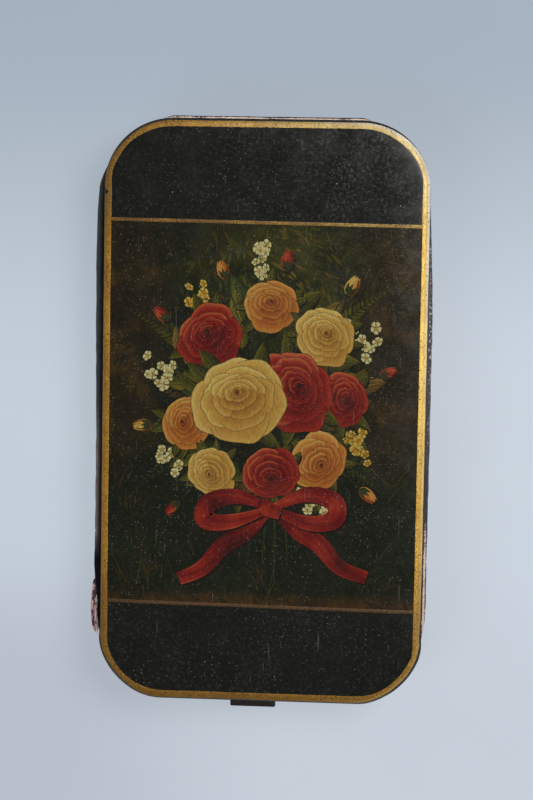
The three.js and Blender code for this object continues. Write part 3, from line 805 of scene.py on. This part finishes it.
def spine(material):
    """The leather hinge strip, slightly crowned across the gap, with soft edges and a ridge worn pale."""
    thick = spine_high.y - HALF_LENGTH
    half = spine_high.x
    tall = spine_high.z - spine_low.z
    outside, inside, wear = [], [], []
    rows, columns = 110, 41
    for x in np.linspace(-half, half, rows):
        past = max(abs(x) - (HALF_WIDTH - HINGE_CORNER), 0)
        seat = HALF_LENGTH - HINGE_CORNER + sqrt(HINGE_CORNER**2 - past**2)
        full = thick * smoothstep((half - abs(x)) / SPINE_TAPER + 0.15)
        rubbed = 0.55 + 0.7 * wave(x, 31, 7.0) + 0.5 * wave(x, 37, 1.8)
        for z in np.linspace(spine_low.z, spine_high.z, columns):
            share = (z - spine_low.z) / tall
            edge = min(share, 1 - share) * tall
            round_off = sqrt(np.clip(min(edge, x + half, half - x) / SPINE_ROUND, 0, 1))
            hollow = -SPINE_HOLLOW * sin(pi * share) ** 2
            relief = 0.14 * noise_at(x * 0.12, z * 1.4, 3.0) + hollow + 0.03 * noise_at(x * 1.1, z * 1.1, 8.0)
            y = full * (0.25 + 0.75 * round_off) + relief * round_off * full / thick
            outside.append((x, seat + min(y, thick + 0.12), z))
            inside.append((x, seat - 0.02 + hollow * round_off, z))
            pale = np.clip(1.1 - edge / 0.25, 0, 1)
            wear.append((0.35 + rubbed) * max(pale, 0.3 * sin(pi * share)))
    total = rows * columns
    faces = strip_faces(rows, columns)
    faces += [tuple(total + i for i in face[::-1]) for face in faces]
    grid = np.arange(total).reshape(rows, columns)
    rim = np.concatenate([grid[0], grid[1:, -1], grid[-1, -2::-1], grid[-2:0:-1, 0]]).tolist()
    faces += [(a, b, total + b, total + a) for a, b in zip(rim, rim[1:] + rim[:1])]
    colours = [(worn, 0.15, 0) for worn in wear + [0.0] * total]
    piece = make_piece("hinge_leather", outside + inside, faces, material, colours)
    soft_piece(piece, "spine_leather")


def shred(name, path, widths, thickness, pinkness, material):
    """A torn strip of leather: a flattened tube along a path, tapered to nothing at its ends."""
    line, _, width = spread_along([(-HALF_WIDTH - out, y, z) for out, y, z in path], widths, 40, 12)
    sides = 12
    rings, wear = [], []
    for i, (point, w) in enumerate(zip(line, width)):
        ragged = 1 + 0.35 * wave(i, 5, 2.5)
        ring = []
        for k in range(sides):
            a = 2 * pi * k / sides
            bump = 0.06 * noise_at(k * 0.9, i * 0.35, len(name))
            across = (cos(a) * thickness / 2 * min(1, w * 3) + bump) * (w > 0)
            ring.append(point + np.array([across, 0, sin(a) * w / 2 * ragged]))
            mottled = np.clip(0.8 + 1.3 * noise_at(k * 0.45, i * 0.22, len(name) * 1.7), 0.1, 1)
            wear.append((mottled if abs(sin(a)) < 0.9 else 0.35, pinkness, 0))
        rings.append(ring)
    piece = make_piece(name, *tube(rings), material, wear)
    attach(piece, "front")


# Linings


def lining(name, side, material):
    """The silk panel inside a cover, with a soft rolled edge, cut away round the clasp's plate."""
    half, low, high = lining_high.x, lining_low.y, lining_high.y
    m = LINING_MOUTH_CORNER
    h = HINGE_CORNER - (HALF_WIDTH - half)
    notch = [(foot_low.x - FIT_GAP, low), (foot_low.x - FIT_GAP, foot_high.y + FIT_GAP)]
    notch += [(foot_high.x + FIT_GAP, foot_high.y + FIT_GAP), (foot_high.x + FIT_GAP, low)]
    outline = arc(half - m, low + m, m, -pi / 2) + arc(half - h, high - h, h, 0)
    outline += arc(h - half, high - h, h, pi / 2) + arc(m - half, low + m, m, pi)
    outline = np.array(notch[-1:] + outline + notch[:-1])
    rings = []
    for a in np.linspace(0, pi / 2, 5):
        rings.append(layer(outline, LINING_EASE * (1 - cos(a)), lerp(lining_low.z, lining_high.z, sin(a))))
    cover_piece(name, side, rings, material, "_lining")


def hinge_cloth(material):
    """The cloth behind the leather hinge: one channel of silk, its back hollowed and its edges rolled."""
    box_low, box_high = (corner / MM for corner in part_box("spine_lining"))
    inset = LINING_CLOTH / 2
    back, edge = box_high.y - inset, box_low.y + inset
    low, high = box_low.z + inset, box_high.z - inset
    leg = np.linspace(edge, back - CLOTH_CORNER, 10)
    line = [(y, low) for y in leg]
    line += [(back, z) for z in np.linspace(low + CLOTH_CORNER, high - CLOTH_CORNER, 22)]
    line += [(y, high) for y in leg[::-1]]
    line = relaxed(line, 3)
    rings = []
    for x in np.linspace(-box_high.x, box_high.x, 90):
        y, z = thicken(line, LINING_CLOTH * min(1, (box_high.x - abs(x)) / 0.4 + 0.35)).T
        share = np.clip((z - low) / (high - low), 0, 1)
        pucker = 0.16 * np.sin(pi * share) * (0.6 + 0.4 * sin(x * 0.9) + wave(x, 61, 2.2))
        rings.append(np.column_stack([np.full(len(z), x), y - pucker, z]))
    soft_piece(make_piece("hinge_cloth", *tube(rings, thin=True), material), "spine_lining")


# Clasp


def plate(outline, low, high, ease):
    """Vertices and faces of a sheet cut to an anticlockwise outline, with its rims eased."""
    rim = ((ease, 0.0), (0.3 * ease, 0.3 * ease), (0.0, ease))
    rings = [layer(outline, inset, low + rise) for inset, rise in rim]
    return tube(rings + [layer(outline, inset, high - rise) for inset, rise in rim[::-1]])


def tongue(material):
    """The spring tongue: a leg with a bead pressed near its end, and the thumb tab through the seam."""
    outer = -HALF_LENGTH + RIM_WALL + 0.05 + PLATE_THICKNESS + KEEPER_CLEARANCE
    inner = outer + PLATE_THICKNESS
    bead = tongue_low.z + BEAD_HEIGHT
    heights = np.append(np.linspace(tongue_low.z, bead + 1.0, 22), [tongue_high.z - 0.3, tongue_high.z])
    press = BEAD_PROUD * bell(heights, bead, BEAD_SPREAD)
    outside, inside = (np.column_stack([y - press, heights]) for y in (outer, inner))
    profile = np.concatenate([inside, outside[::-1]])
    leg, leg_faces = plate(profile, -TONGUE_WIDTH / 2, TONGUE_WIDTH / 2, TONGUE_EASE)
    leg = leg[:, (2, 0, 1)]
    r, tip = TAB_CORNER, tongue_low.y
    line = arc(r - TAB_HALF, tip + r, r, pi, 7) + arc(TAB_HALF - r, tip + r, r, -pi / 2, 7)
    line += [(TAB_HALF, inner), (-TAB_HALF, inner)]
    tab, tab_faces = plate(np.array(line), MIDDLE - TAB_THICKNESS / 2, MIDDLE + TAB_THICKNESS / 2, TAB_EASE)
    faces = leg_faces + [tuple(i + len(leg) for i in face) for face in tab_faces]
    piece = make_piece("spring_tongue", np.concatenate([leg, tab]) + (TAB_MIDDLE, 0, 0), faces, material)
    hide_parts("catch_tongue")
    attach(piece, "catch")


# The painted panel: a loose bunch of roses with leaves, buds and a ribbon, over dim foliage

# The palettes, from deep to highlight.
CRIMSON = linear(((34, 4, 7), (88, 10, 17), (142, 22, 26), (188, 58, 46), (228, 132, 100)))
IVORY = linear(((84, 48, 20), (152, 100, 48), (206, 154, 84), (234, 194, 126), (250, 226, 172)))
PEACH = linear(((76, 28, 12), (142, 66, 30), (196, 112, 54), (226, 156, 88), (244, 200, 136)))
OLIVE = linear(((14, 18, 7), (42, 46, 16), (86, 86, 28), (136, 128, 48), (190, 176, 84)))
MOSS = linear(((9, 13, 8), (24, 34, 18), (48, 62, 32), (80, 96, 52), (136, 146, 88)))
RUSSET = linear(((20, 15, 7), (54, 40, 20), (96, 74, 38), (144, 112, 60), (196, 164, 100)))
CHALK = linear(((96, 92, 70), (160, 154, 122), (214, 208, 180), (240, 236, 216), (252, 250, 240)))
OCHRE = linear(((70, 42, 12), (136, 90, 26), (196, 146, 50), (232, 192, 92), (250, 228, 150)))
# The heading that the painted light comes from, and the middle of the bunch.
LIGHT_HEADING = 2.2
BUNCH_MIDDLE = np.array([1.0, 3.0])

# Each frond's root, heading, length, bend, palette, tone and the reach of its leaflets.
FRONDS = (
    (-14, 12, 2.35, 24, 0.5, OLIVE, 0.42, 4.2), (12, 14, 0.95, 25, -0.5, OLIVE, 0.46, 4.0),
    (-14, -8, 3.5, 21, 0.6, MOSS, 0.5, 3.8), (14, -8, -0.35, 21, -0.7, MOSS, 0.48, 3.9),
    (-5, 24, 1.95, 17, 0.4, MOSS, 0.5, 3.2), (14, 2, 0.3, 20, 0.5, RUSSET, 0.42, 3.4),
    (-14, 3, 2.9, 19, -0.5, RUSSET, 0.42, 3.4), (-6, -16, 4.1, 17, -0.5, OLIVE, 0.4, 3.4),
    (9, -16, -0.95, 18, 0.5, OLIVE, 0.42, 3.4),
)
# Each tuft's middle, spread and number of blades.
TUFTS = ((-27, -40, 7.5, 46), (27, -40, 7.5, 46), (-31, -24, 3.6, 26), (31, -20, 3.6, 24), (0, -43, 8.0, 22))
# Each stalk's root, heading, length and bend.
STALKS = (
    (2, -19, -1.72, 21, 0.16), (3, -19, -1.5, 22, -0.14), (1, -19, -1.95, 18, 0.3),
    (4, -19, -1.3, 19, -0.3),
)
# Each bud's root, heading, length and palette.
BUDS = (
    (5, 33, 1.45, 5.2, CRIMSON), (-9, 31, 1.9, 4.6, PEACH), (19, 28, 1.0, 5.0, IVORY),
    (-22, 21, 2.4, 4.8, CRIMSON), (27, 9, 0.4, 4.6, CRIMSON), (-26, -3, 3.3, 4.4, IVORY),
    (23, -17, -0.7, 4.8, PEACH), (-19, -21, 3.95, 4.6, CRIMSON),
)
# Each spray's middle, spread, number of blossoms and palette.
SPRAYS = (
    (-24, 9, 4.0, 11, CHALK), (24, 17, 3.8, 10, CHALK), (-2, 36, 3.4, 9, CHALK), (21, -7, 4.2, 11, OCHRE),
    (-21, -12, 4.2, 11, CHALK), (13, -21, 3.4, 8, CHALK), (-15, 27, 3.2, 8, OCHRE),
)
# Each rose's middle, radius, palette, tone and tilt.
ROSES = (
    (-12.5, 17.5, 7.6, CRIMSON, 0.56, 2.2), (1.5, 25.0, 6.2, PEACH, 0.6, 1.5),
    (14.0, 18.0, 6.8, IVORY, 0.64, 1.0), (-17.5, -2.5, 6.2, PEACH, 0.6, 3.0),
    (18.5, 3.5, 6.4, CRIMSON, 0.54, 0.2), (-11.5, -14.0, 5.6, IVORY, 0.62, 3.8),
    (13.0, -11.0, 6.6, PEACH, 0.6, -0.7), (2.0, -14.0, 6.4, CRIMSON, 0.55, -1.4),
    (7.0, 5.5, 9.4, CRIMSON, 0.6, 0.6), (-5.5, 3.0, 10.4, IVORY, 0.68, 1.8),
)
# The rings of a rose: how many petals, their reach, inner end and spread, and how far the ring is shifted.
ROSE_RINGS = (
    (5, 1.04, 0.3, 0.86, 0.0), (5, 0.84, 0.26, 0.84, 0.04), (4, 0.63, 0.2, 1.0, 0.09),
    (4, 0.45, 0.12, 0.98, 0.13), (3, 0.29, 0.05, 1.2, 0.16),
)
TAIL_WIDTHS = (2.4, 4.0, 4.2, 3.6, 3.0)
LOOP_WIDTHS = (1.6, 3.6, 4.4, 4.4, 3.4, 1.6)
# Each length of ribbon: its path, its widths, its tone and its folds.
RIBBONS = (
    (((2, -22), (-3, -28), (-9, -31), (-13, -37), (-19, -39.5)), TAIL_WIDTHS, 0.4, 2.6),
    (((3, -22), (9, -28), (14, -30), (18, -36), (25, -38)), TAIL_WIDTHS, 0.42, 2.4),
    (((2, -22), (-6, -19), (-13, -21), (-14, -26), (-7, -26), (2, -22.5)), LOOP_WIDTHS, 0.46, 2.8),
    (((3, -22), (11, -18), (18, -20), (18, -25), (11, -26), (3, -22.5)), LOOP_WIDTHS, 0.48, 2.8),
    (((0.2, -20.4), (1.6, -22.6), (4.6, -23.4)), (2.6, 3.6, 2.8), 0.52, 2.2),
)


def shade(palette, tone):
    steps = np.linspace(0, 1, len(palette))
    flat = np.clip(tone, 0, 1)
    return np.stack([np.interp(flat, steps, part) for part in palette.T], axis=-1)


def panel_edge(x):
    """The lowest and highest place of paint at a distance across the case, inside the gold lines."""
    gap = LINE_WIDTH / 2 - 0.05
    return line_height(LOWER_LINE_ENDS, x) + gap, line_height(UPPER_LINE_ENDS, x) - gap


def cloud(x, y, size, seed):
    """Fractal noise about zero at each point."""
    places = zip((x / size).ravel(), (y / size).ravel())
    return np.array([noise.fractal(Vector((*place, seed)), 0.8, 2.1, 4) for place in places]).reshape(x.shape)


def ground(x, y):
    """The panel's ground: green black, with an olive glow high up, umber at the sides and moss low down."""
    patch, fine = cloud(x, y, 9.0, 3.0), cloud(x, y, 2.2, 8.0)
    glow = bell(x, 3, 17) * bell(y, 34, 15)
    sides = smoothstep((np.abs(x + 1) - 18) / 12) * smoothstep((y + 22) / 24)
    colour = shade(MOSS, 0.16 + 0.07 * patch + 0.04 * fine)
    for weight, palette, tone in (
        (0.85 * glow, OLIVE, 0.36 + 0.16 * patch + 0.1 * fine),
        (0.8 * sides, RUSSET, 0.24 + 0.2 * patch + 0.08 * fine),
        (0.6 * smoothstep((-14 - y) / 16), MOSS, 0.22 + 0.09 * patch + 0.05 * fine),
        (0.5 * smoothstep((-41.5 - y) / 3.5), OCHRE, 0.08 + 0.1 * patch + 0.04 * fine),
    ):
        share = np.clip(weight * (1 + 0.5 * patch), 0, 1)[..., None]
        colour = lerp(colour, shade(palette, tone), share)
    return colour


def arc_line(start, heading, length, bend, rows):
    """Points and headings along a curve that turns by bend from its first heading."""
    turn = heading + bend * np.linspace(0, 1, rows)
    steps = np.cumsum(np.column_stack([np.cos(turn), np.sin(turn)])[:-1], axis=0)
    return start + length / (rows - 1) * np.concatenate([[[0, 0]], steps]), turn


def widened(line, turn, reach):
    """A grid of points from a line, its headings, and how far to its side each column lies."""
    return line[:, None] + np.column_stack([-np.sin(turn), np.cos(turn)])[:, None] * reach[..., None]


class Painting:
    """Brush marks laid over one another. Each is a small grid of points with a colour at each point."""

    def __init__(self, seed):
        self.random = np.random.default_rng(seed)
        self.draw = self.random.uniform
        self.points, self.colours, self.faces = [], [], []
        self.top = {}
        self.size = 0

    def pick(self, *palettes):
        return palettes[self.random.integers(len(palettes))]

    def lay(self, xy, colour):
        """Lay a grid of paint, held inside the panel, just above whatever it covers."""
        reach = HALF_WIDTH - PANEL_INSET + 0.05
        x = np.clip(xy[..., 0], -reach, reach)
        xy = np.stack([x, np.clip(xy[..., 1], *panel_edge(x))], axis=-1)
        corners = np.stack([xy[:-1, :-1], xy[1:, :-1], xy[1:, 1:], xy[:-1, 1:]])
        ends = np.stack([corners.min(axis=0), corners.max(axis=0)]).reshape(2, -1, 2)
        cells = set()
        for (x0, y0), (x1, y1) in zip(*np.floor(ends / PAINT_CELL).astype(int).tolist()):
            cells.update((x, y) for x in range(x0, x1 + 1) for y in range(y0, y1 + 1))
        level = 1 + max(self.top.get(cell, 0) for cell in cells)
        self.top.update(dict.fromkeys(cells, level))
        self.points.append(on_face(*xy.reshape(-1, 2).T, PAINT_LIFT + level * PAINT_STEP))
        self.colours.append(np.asarray(colour).reshape(-1, 3))
        (ax, ay), (bx, by) = (np.moveaxis(corners[i + 2] - corners[i], -1, 0) for i in (0, 1))
        faces = strip_faces(*xy.shape[:2], start=self.size)
        self.faces += faces if np.sum(ax * by - ay * bx) < 0 else [face[::-1] for face in faces]
        self.size += xy.shape[0] * xy.shape[1]

    def mark(self, start, heading, length, width, bend, palette, tone, soft=0.0, blunt=0.7):
        """One pull of a loaded brush, lighter along its middle. soft sinks its sides into the ground."""
        line, turn = arc_line(start, heading, length, bend, max(4, int(length / 0.7)))
        t = np.linspace(0, 1, len(line))[:, None]
        s = np.linspace(-1, 1, 5)[None, :]
        xy = widened(line, turn, width / 2 * np.sin(pi * t**blunt) ** 0.8 * s)
        colour = shade(palette, tone + self.draw(-0.08, 0.08) * s - 0.16 * s**2 + 0.08 * (t - 0.5))
        if soft:
            fade = np.clip(soft * (s**2 + 0.6 * (2 * t - 1) ** 4), 0, 1)[..., None]
            colour = lerp(colour, ground(xy[..., 0], xy[..., 1]), fade)
        self.lay(xy, colour)

    def leaf(self, base, heading, length, width, bend, palette, tone, veins=1.0):
        """A pointed leaf with a toothed edge, a pale midrib and side veins."""
        line, turn = arc_line(base, heading, length, bend, 18)
        t = np.linspace(0, 1, 18)[:, None]
        s = np.linspace(-1, 1, 9)[None, :]
        teeth = 1 + 0.1 * veins * ((t * 8.5) % 1 - 0.5) * (np.abs(s) > 0.9)
        half = width / 2 * np.sin(pi * t**0.72) ** 0.9 * teeth
        xy = widened(line, turn, half * s)
        self.lay(xy[::3, ::2] + np.array([0.28, -0.34]), np.broadcast_to(shade(palette, 0.02), (6, 5, 3)))
        ribs = np.cos(2 * pi * (t * 6.5 - np.abs(s) * 1.2))
        value = tone + 0.17 * s + 0.06 * veins * ribs + 0.12 * (t - 0.4)
        value = value - 0.12 * bell(s, 0, 0.3) + 0.07 * cloud(xy[..., 0], xy[..., 1], 1.6, 2.0)
        self.lay(xy, shade(palette, value))
        self.mark(base, heading, length * 0.96, 0.2, bend, palette, tone + 0.34, blunt=0.45)
        for i in range(3, 3 + 3 * int(4 * veins), 3):
            reach = half[i, 4] * 0.86 / sin(0.82)
            for way in (-1, 1):
                swing = turn[i] + way * 0.82
                self.mark(line[i], swing, reach, 0.11, -way * 0.35, palette, tone + 0.24, blunt=0.4)

    def petal(self, centre, facing, inner, outer, spread, palette, tone, squash=(1.0, 0.0), grid=(15, 8)):
        """A petal as a fan round centre, pale at its rolled lip and edged with a thin shadow."""
        columns, rows = grid
        seed = self.draw(0, 50)
        s = np.append(np.linspace(0, 1, rows), 1.0)[:, None]
        f = np.linspace(-1, 1, columns)[None, :]
        ruffle = np.array([noise_at(v * 1.6, seed, 0) for v in f[0]])
        lip = outer * (1 - 0.17 * np.abs(f) ** 3 + 0.09 * ruffle - 0.04 * bell(f, 0, 0.22))
        radius = inner + (lip - inner) * s
        radius[-1] += 0.16 + 0.01 * outer
        angle = facing + spread * f * (0.82 + 0.18 * s)
        local = np.stack([radius * np.cos(angle), radius * np.sin(angle)], axis=-1)
        ratio, tilt = squash
        axis = np.array([cos(tilt), sin(tilt)])
        xy = centre + local - ((1 - ratio) * (local @ axis))[..., None] * axis
        lit = 0.5 + 0.5 * cos(facing - LIGHT_HEADING)
        streak = np.array([noise_at(v * 7, seed, 9) for v in f[0]])
        value = tone - 0.3 + (0.26 + 0.2 * lit) * s**1.3 + (0.1 + 0.14 * lit) * s**7
        colour = shade(palette, value - 0.1 * np.abs(f) ** 2.5 + 0.05 * streak * s)
        colour[-1] = shade(palette, np.full(columns, 0.02))
        self.lay(xy, colour)

    def rose(self, centre, radius, palette, tone, tilt):
        """A full-blown rose: rings of petals that close on a dark heart, which is set off towards tilt."""
        lean = np.array([cos(tilt), sin(tilt)]) * radius
        for i, (count, reach, inner, spread, shift) in enumerate(ROSE_RINGS):
            start = self.draw(0, 2 * pi)
            middle = centre + lean * shift
            around = [start + 2 * pi * k / count + self.draw(-0.2, 0.2) for k in range(count)]
            for facing in sorted(around, key=lambda a: -cos(a - tilt)):
                outer = reach * radius * self.draw(0.93, 1.06)
                level = tone - 0.035 * i + self.draw(-0.05, 0.05)
                squash = (0.92 - 0.05 * i, tilt)
                self.petal(middle, facing, inner * radius, outer, spread, palette, level, squash)
        heart = centre + lean * 0.18
        for k in range(3):
            facing, outer = start + 0.9 + 2.3 * k, (0.16 - 0.035 * k) * radius
            self.petal(heart, facing, 0.02 * radius, outer, 1.3, palette, tone - 0.2, grid=(15, 5))

    def blossom(self, centre, size, palette, tone):
        """A small open flower of five petals with a yellow eye."""
        start = self.draw(0, 2 * pi)
        squash = (self.draw(0.65, 1.0), self.draw(0, pi))
        fifth = 2 * pi / 5
        for k in range(5):
            facing = start + fifth * k
            self.petal(centre, facing, 0.05 * size, size, 0.42 * fifth, palette, tone, squash, (7, 4))
        for k in range(3):
            self.mark(centre, start + 2.1 * k, 0.34 * size, 0.3 * size, 0.3, OCHRE, 0.7 - 0.15 * k)

    def bud(self, base, heading, length, palette, tone):
        """A bud on its calyx, with the stalk's end below it."""
        for turn, level in ((-0.26, tone - 0.14), (0.26, tone), (0.0, tone + 0.06)):
            self.leaf(base, heading + turn, length, 0.42 * length, -turn * 1.1, palette, level, veins=0.0)
        for turn in (-0.5, 0.45, 0.02):
            self.mark(base, heading + turn, 0.6 * length, 0.22 * length, -turn * 0.5, MOSS, 0.55, blunt=0.5)

    def frond(self, base, heading, length, bend, palette, tone, reach):
        """A fern frond: a stalk with pairs of leaflets that shorten to its tip."""
        soft = 0.25
        count = int(length / 1.15)
        line, turn = arc_line(base, heading, length, bend, count + 1)
        self.mark(base, heading, length, 0.28, bend, palette, tone - 0.05, soft, blunt=0.35)
        for i in range(1, count):
            share = i / count
            size = reach * (0.25 + 0.75 * sin(pi * min(1, share * 0.8 + 0.25))) * (1.15 - share)
            for way in (-1, 1):
                swing = turn[i] + way * (1.05 - 0.35 * share) + self.draw(-0.12, 0.12)
                level = tone + 0.1 * way * cos(swing - LIGHT_HEADING) + self.draw(-0.06, 0.06)
                self.mark(line[i], swing, size, 0.26 * size + 0.25, -way * 0.4, palette, level, soft)

    def band(self, path, widths, palette, tone, folds):
        """A length of ribbon along a path, with soft folds running along it."""
        line, t, width = spread_along(path, widths, 10 * len(path), 30)
        turn = np.arctan2(*np.gradient(line, axis=0).T[::-1])
        s = np.linspace(-1, 1, 11)[None, :]
        xy = widened(line, turn, width[:, None] / 2 * s)
        run = t[:, None] / len(path)
        self.lay(xy + np.array([0.35, -0.4]), np.broadcast_to(shade(palette, 0.0), (*xy.shape[:2], 3)))
        pleat = 0.1 * np.sin(s * folds + run * 7.0 + 0.8 * np.sin(run * 9))
        fine = 0.05 * np.sin(s * 9 + run * 16) + 0.06 * cloud(xy[..., 0], xy[..., 1], 2.5, 6.0)
        sheen = 0.2 * np.cos(2 * (turn[:, None] - 0.4)) * np.cos(run * 9) + 0.1 * (np.abs(s) > 0.85)
        self.lay(xy, shade(palette, tone + pleat + fine + sheen))

    def inward(self, place, length, width, bend, palette, tone):
        """A thin stem from a place towards the middle of the bunch."""
        across, up = BUNCH_MIDDLE - place
        bend = self.draw(-bend, bend)
        self.mark(place, atan2(up, across), length, width, bend, palette, tone, blunt=0.3)


def painted_ground(material):
    """The panel's base coat, as a close grid between the gold lines."""
    reach = HALF_WIDTH - PANEL_INSET + 0.1
    x, share = np.meshgrid(np.linspace(-reach, reach, 150), np.linspace(0, 1, 188))
    y = lerp(*panel_edge(x), share)
    points = on_face(x.ravel(), y.ravel(), PANEL_HEIGHT)
    coating("painted_ground", points, material, strip_faces(*x.shape), ground(x, y).reshape(-1, 3))


def dim_foliage(art):
    """Feathery leaves that sink into the ground, brightest in the glow high up."""
    for _ in range(1900):
        x, y = art.draw(-36, 36), art.draw(-45, 44)
        glow = exp(-(((x - 3) / 19) ** 2) - ((y - 34) / 16) ** 2)
        if art.draw() > 0.3 + glow:
            continue
        heading = -1.25 + 1.5 * noise_at(x / 14, y / 14, 5) + art.random.normal(0, 0.35)
        palette = art.pick(MOSS, OLIVE, OLIVE, RUSSET) if glow > 0.12 else art.pick(MOSS, MOSS, RUSSET)
        tone = 0.2 + 0.4 * glow + art.draw(-0.08, 0.14)
        length, width, bend = art.draw(1.6, 4.2), art.draw(0.5, 1.1), art.random.normal(0, 0.4)
        art.mark((x, y), heading, length, width, bend, palette, tone, 0.75)


def painted_flowers(material):
    """The bunch, from its dim leaves forward to its two great roses and the ribbon."""
    art = Painting(11)
    draw, normal = art.draw, art.random.normal
    dim_foliage(art)
    for x, y, *frond in FRONDS:
        art.frond((x, y), *frond)
    for x, y, spread, count in TUFTS:
        for _ in range(count):
            root = (x + normal(0, spread * 0.5), y + normal(0, 2.4))
            length = draw(3.0, 7.5)
            palette = art.pick(OLIVE, MOSS, OLIVE, RUSSET)
            tone = draw(0.14, 0.38)
            art.mark(root, normal(1.57, 0.45), length, 0.55, normal(0, 0.6), palette, tone, 0.2, 0.5)
    for x, y, heading, length, bend in STALKS:
        art.mark((x, y), heading, length, 0.75, bend, MOSS, 0.5, blunt=0.3)
    for k in range(64):
        a = 2 * pi * k / 64 + draw(-0.1, 0.1)
        base = BUNCH_MIDDLE + np.array([19.5 * cos(a), 21.0 * sin(a)]) * draw(0.62, 1.02)
        palette = art.pick(OLIVE, MOSS, OLIVE, MOSS, RUSSET)
        length = draw(6.5, 10.5)
        tone = draw(0.34, 0.58) + 0.06 * sin(a)
        art.leaf(base, a + draw(-0.5, 0.5), length, 0.48 * length, draw(-0.5, 0.5), palette, tone)
    for x, y, heading, length, palette in BUDS:
        art.inward((x, y), 11, 0.42, 0.4, MOSS, 0.52)
        art.bud((x, y), heading, length, palette, 0.6)
    for x, y, spread, count, palette in SPRAYS:
        for _ in range(count):
            centre = (x + normal(0, spread * 0.6), y + normal(0, spread * 0.6))
            art.inward(centre, 5, 0.2, 0.6, OLIVE, 0.45)
            art.blossom(centre, draw(0.85, 1.5), palette, draw(0.62, 0.85))
    for x, y, radius, palette, tone, tilt in ROSES:
        for _ in range(5):
            a = draw(0, 2 * pi)
            base = (x + 0.7 * radius * cos(a), y + 0.7 * radius * sin(a))
            art.leaf(base, a + draw(-0.4, 0.4), 0.75 * radius, 0.36 * radius, 0.3, OLIVE, 0.4)
        art.rose(np.array([x, y]), radius, palette, tone, tilt)
    for path, widths, tone, folds in RIBBONS:
        art.band(path, widths, CRIMSON, tone, folds)
    coating("painted_flowers", np.concatenate(art.points), material, art.faces, np.concatenate(art.colours))


# The whole case

leather = case_leather()
flower_paint = paint()
silk = lining_silk()
steel = tarnished_steel()
lacquer = black_lacquer()

cover("lacquered_back", "back", lacquer)
cover("lacquered_front", "front", lacquer)
painted_ground(flower_paint)
painted_flowers(flower_paint)
gilt_border(shell_gold("border_gold", 0.15))
gilt_line("gilt_upper_line", UPPER_LINE_ENDS, 3, shell_gold("line_gold", 0.9))
gilt_line("gilt_lower_line", LOWER_LINE_ENDS, 5, shell_gold("low_line_gold", 1.4))

gusset("left_leather", -1, LEFT_EDGE, leather)
gusset("right_leather", 1, RIGHT_EDGE, leather)
spine(leather)
shred("torn_cream_strip", CREAM_STRIP, (0.0, 0.6, 0.7, 0.0), 0.55, 0.1, leather)
shred("torn_pink_strip", PINK_STRIP, (0.0, 1.1, 1.3, 0.0), 1.3, 0.85, leather)

lining("silk_back_panel", "back", silk)
lining("silk_front_panel", "front", silk)
hinge_cloth(silk)

tongue(steel)
for node in ("catch_foot", "keeper_plate", *(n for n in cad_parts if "rivet" in n)):
    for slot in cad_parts[node].material_slots:
        slot.material = steel


# The stage, the light and the camera


def floor():
    """Pale paper with painted shade, that takes the case's shadow and glows a little to the camera and in
    reflections.
    """
    graph = Graph("pale_paper")
    x, y = graph.axes()
    low, left = y.ramp(-30.0, -70.0), x.ramp(10.0, -60.0)
    # Painted shade: the paper's tone darkens towards the top, towards the left and at the low end.
    tone = graph.mix(left, (199, 208, 218), (192, 202, 212))
    tone = graph.mix(y.ramp(0.0, 95.0), tone, (161, 173, 186))
    tone = graph.mix(low * left, tone, (180, 187, 199))
    tone = graph.mix(low * 0.28, tone, (184, 189, 200))
    tone = graph.mix(graph.noise(30.0, 2.0).ramp(0.3, 0.7, 0.0, 0.04), tone, (160, 170, 184))
    ray = graph.add("LightPath", {}, "Is Camera Ray")
    seen = ray.most(ray.beside("Is Glossy Ray")).most(ray.beside("Is Transmission Ray"))
    graph.surface(Base_Color=graph.mix(PAPER_GLOW, tone, (0, 0, 0)), Roughness=0.9, Specular_IOR_Level=0.1)
    graph.surface(Emission_Color=tone, Emission_Strength=seen * PAPER_GLOW)
    bpy.ops.mesh.primitive_plane_add(size=PAPER_SIDE, location=(0, 0, 0))
    paper = bpy.context.object
    paper.name = "paper"
    paper.data.materials.append(graph.material)


def lamp(name, place, size, watts, colour):
    """A square soft light aimed at the middle of the case. place and size are in metres."""
    data = bpy.data.lights.new(name, "AREA")
    data.size = size
    data.energy = watts
    data.color = colour
    piece = bpy.data.objects.new(name, data)
    piece.location = place
    piece.rotation_euler = (Vector((0, 0, 0.01)) - Vector(place)).to_track_quat("-Z", "Y").to_euler()
    bpy.context.scene.collection.objects.link(piece)
    return piece


floor()
lamp("key", (0.42, 0.28, 0.72), 0.45, 7.5, (1.0, 0.985, 0.96))
fill = lamp("fill", (-0.5, -0.4, 0.56), 0.6, 4.6, (0.95, 0.975, 1.0))
fill.visible_glossy = False

scene = bpy.context.scene
world = bpy.data.worlds.new("studio")
world.use_nodes = True
sky = world.node_tree.nodes["Background"].inputs
sky["Color"].default_value = (0.93, 0.96, 1.0, 1.0)
sky["Strength"].default_value = 0.17
scene.world = world
scene.view_settings.view_transform = "Standard"


def turned(axis, degrees):
    return Matrix.Rotation(radians(degrees), 3, axis)


seen = turned("Z", CAMERA_ROLL) @ turned("X", CAMERA_PITCH) @ turned("Y", CAMERA_YAW)
camera_data = bpy.data.cameras.new("camera")
camera_data.lens = FOCAL_LENGTH
camera_data.sensor_width = SENSOR_LONG_SIDE
camera = bpy.data.objects.new("camera", camera_data)
back_turned = seen.transposed()
eye = Vector((0, 0, THICKNESS)) - back_turned @ Vector(CAMERA_OFFSET)
camera.matrix_world = Matrix.Translation(eye * MM) @ back_turned.to_4x4()
scene.collection.objects.link(camera)
scene.camera = camera
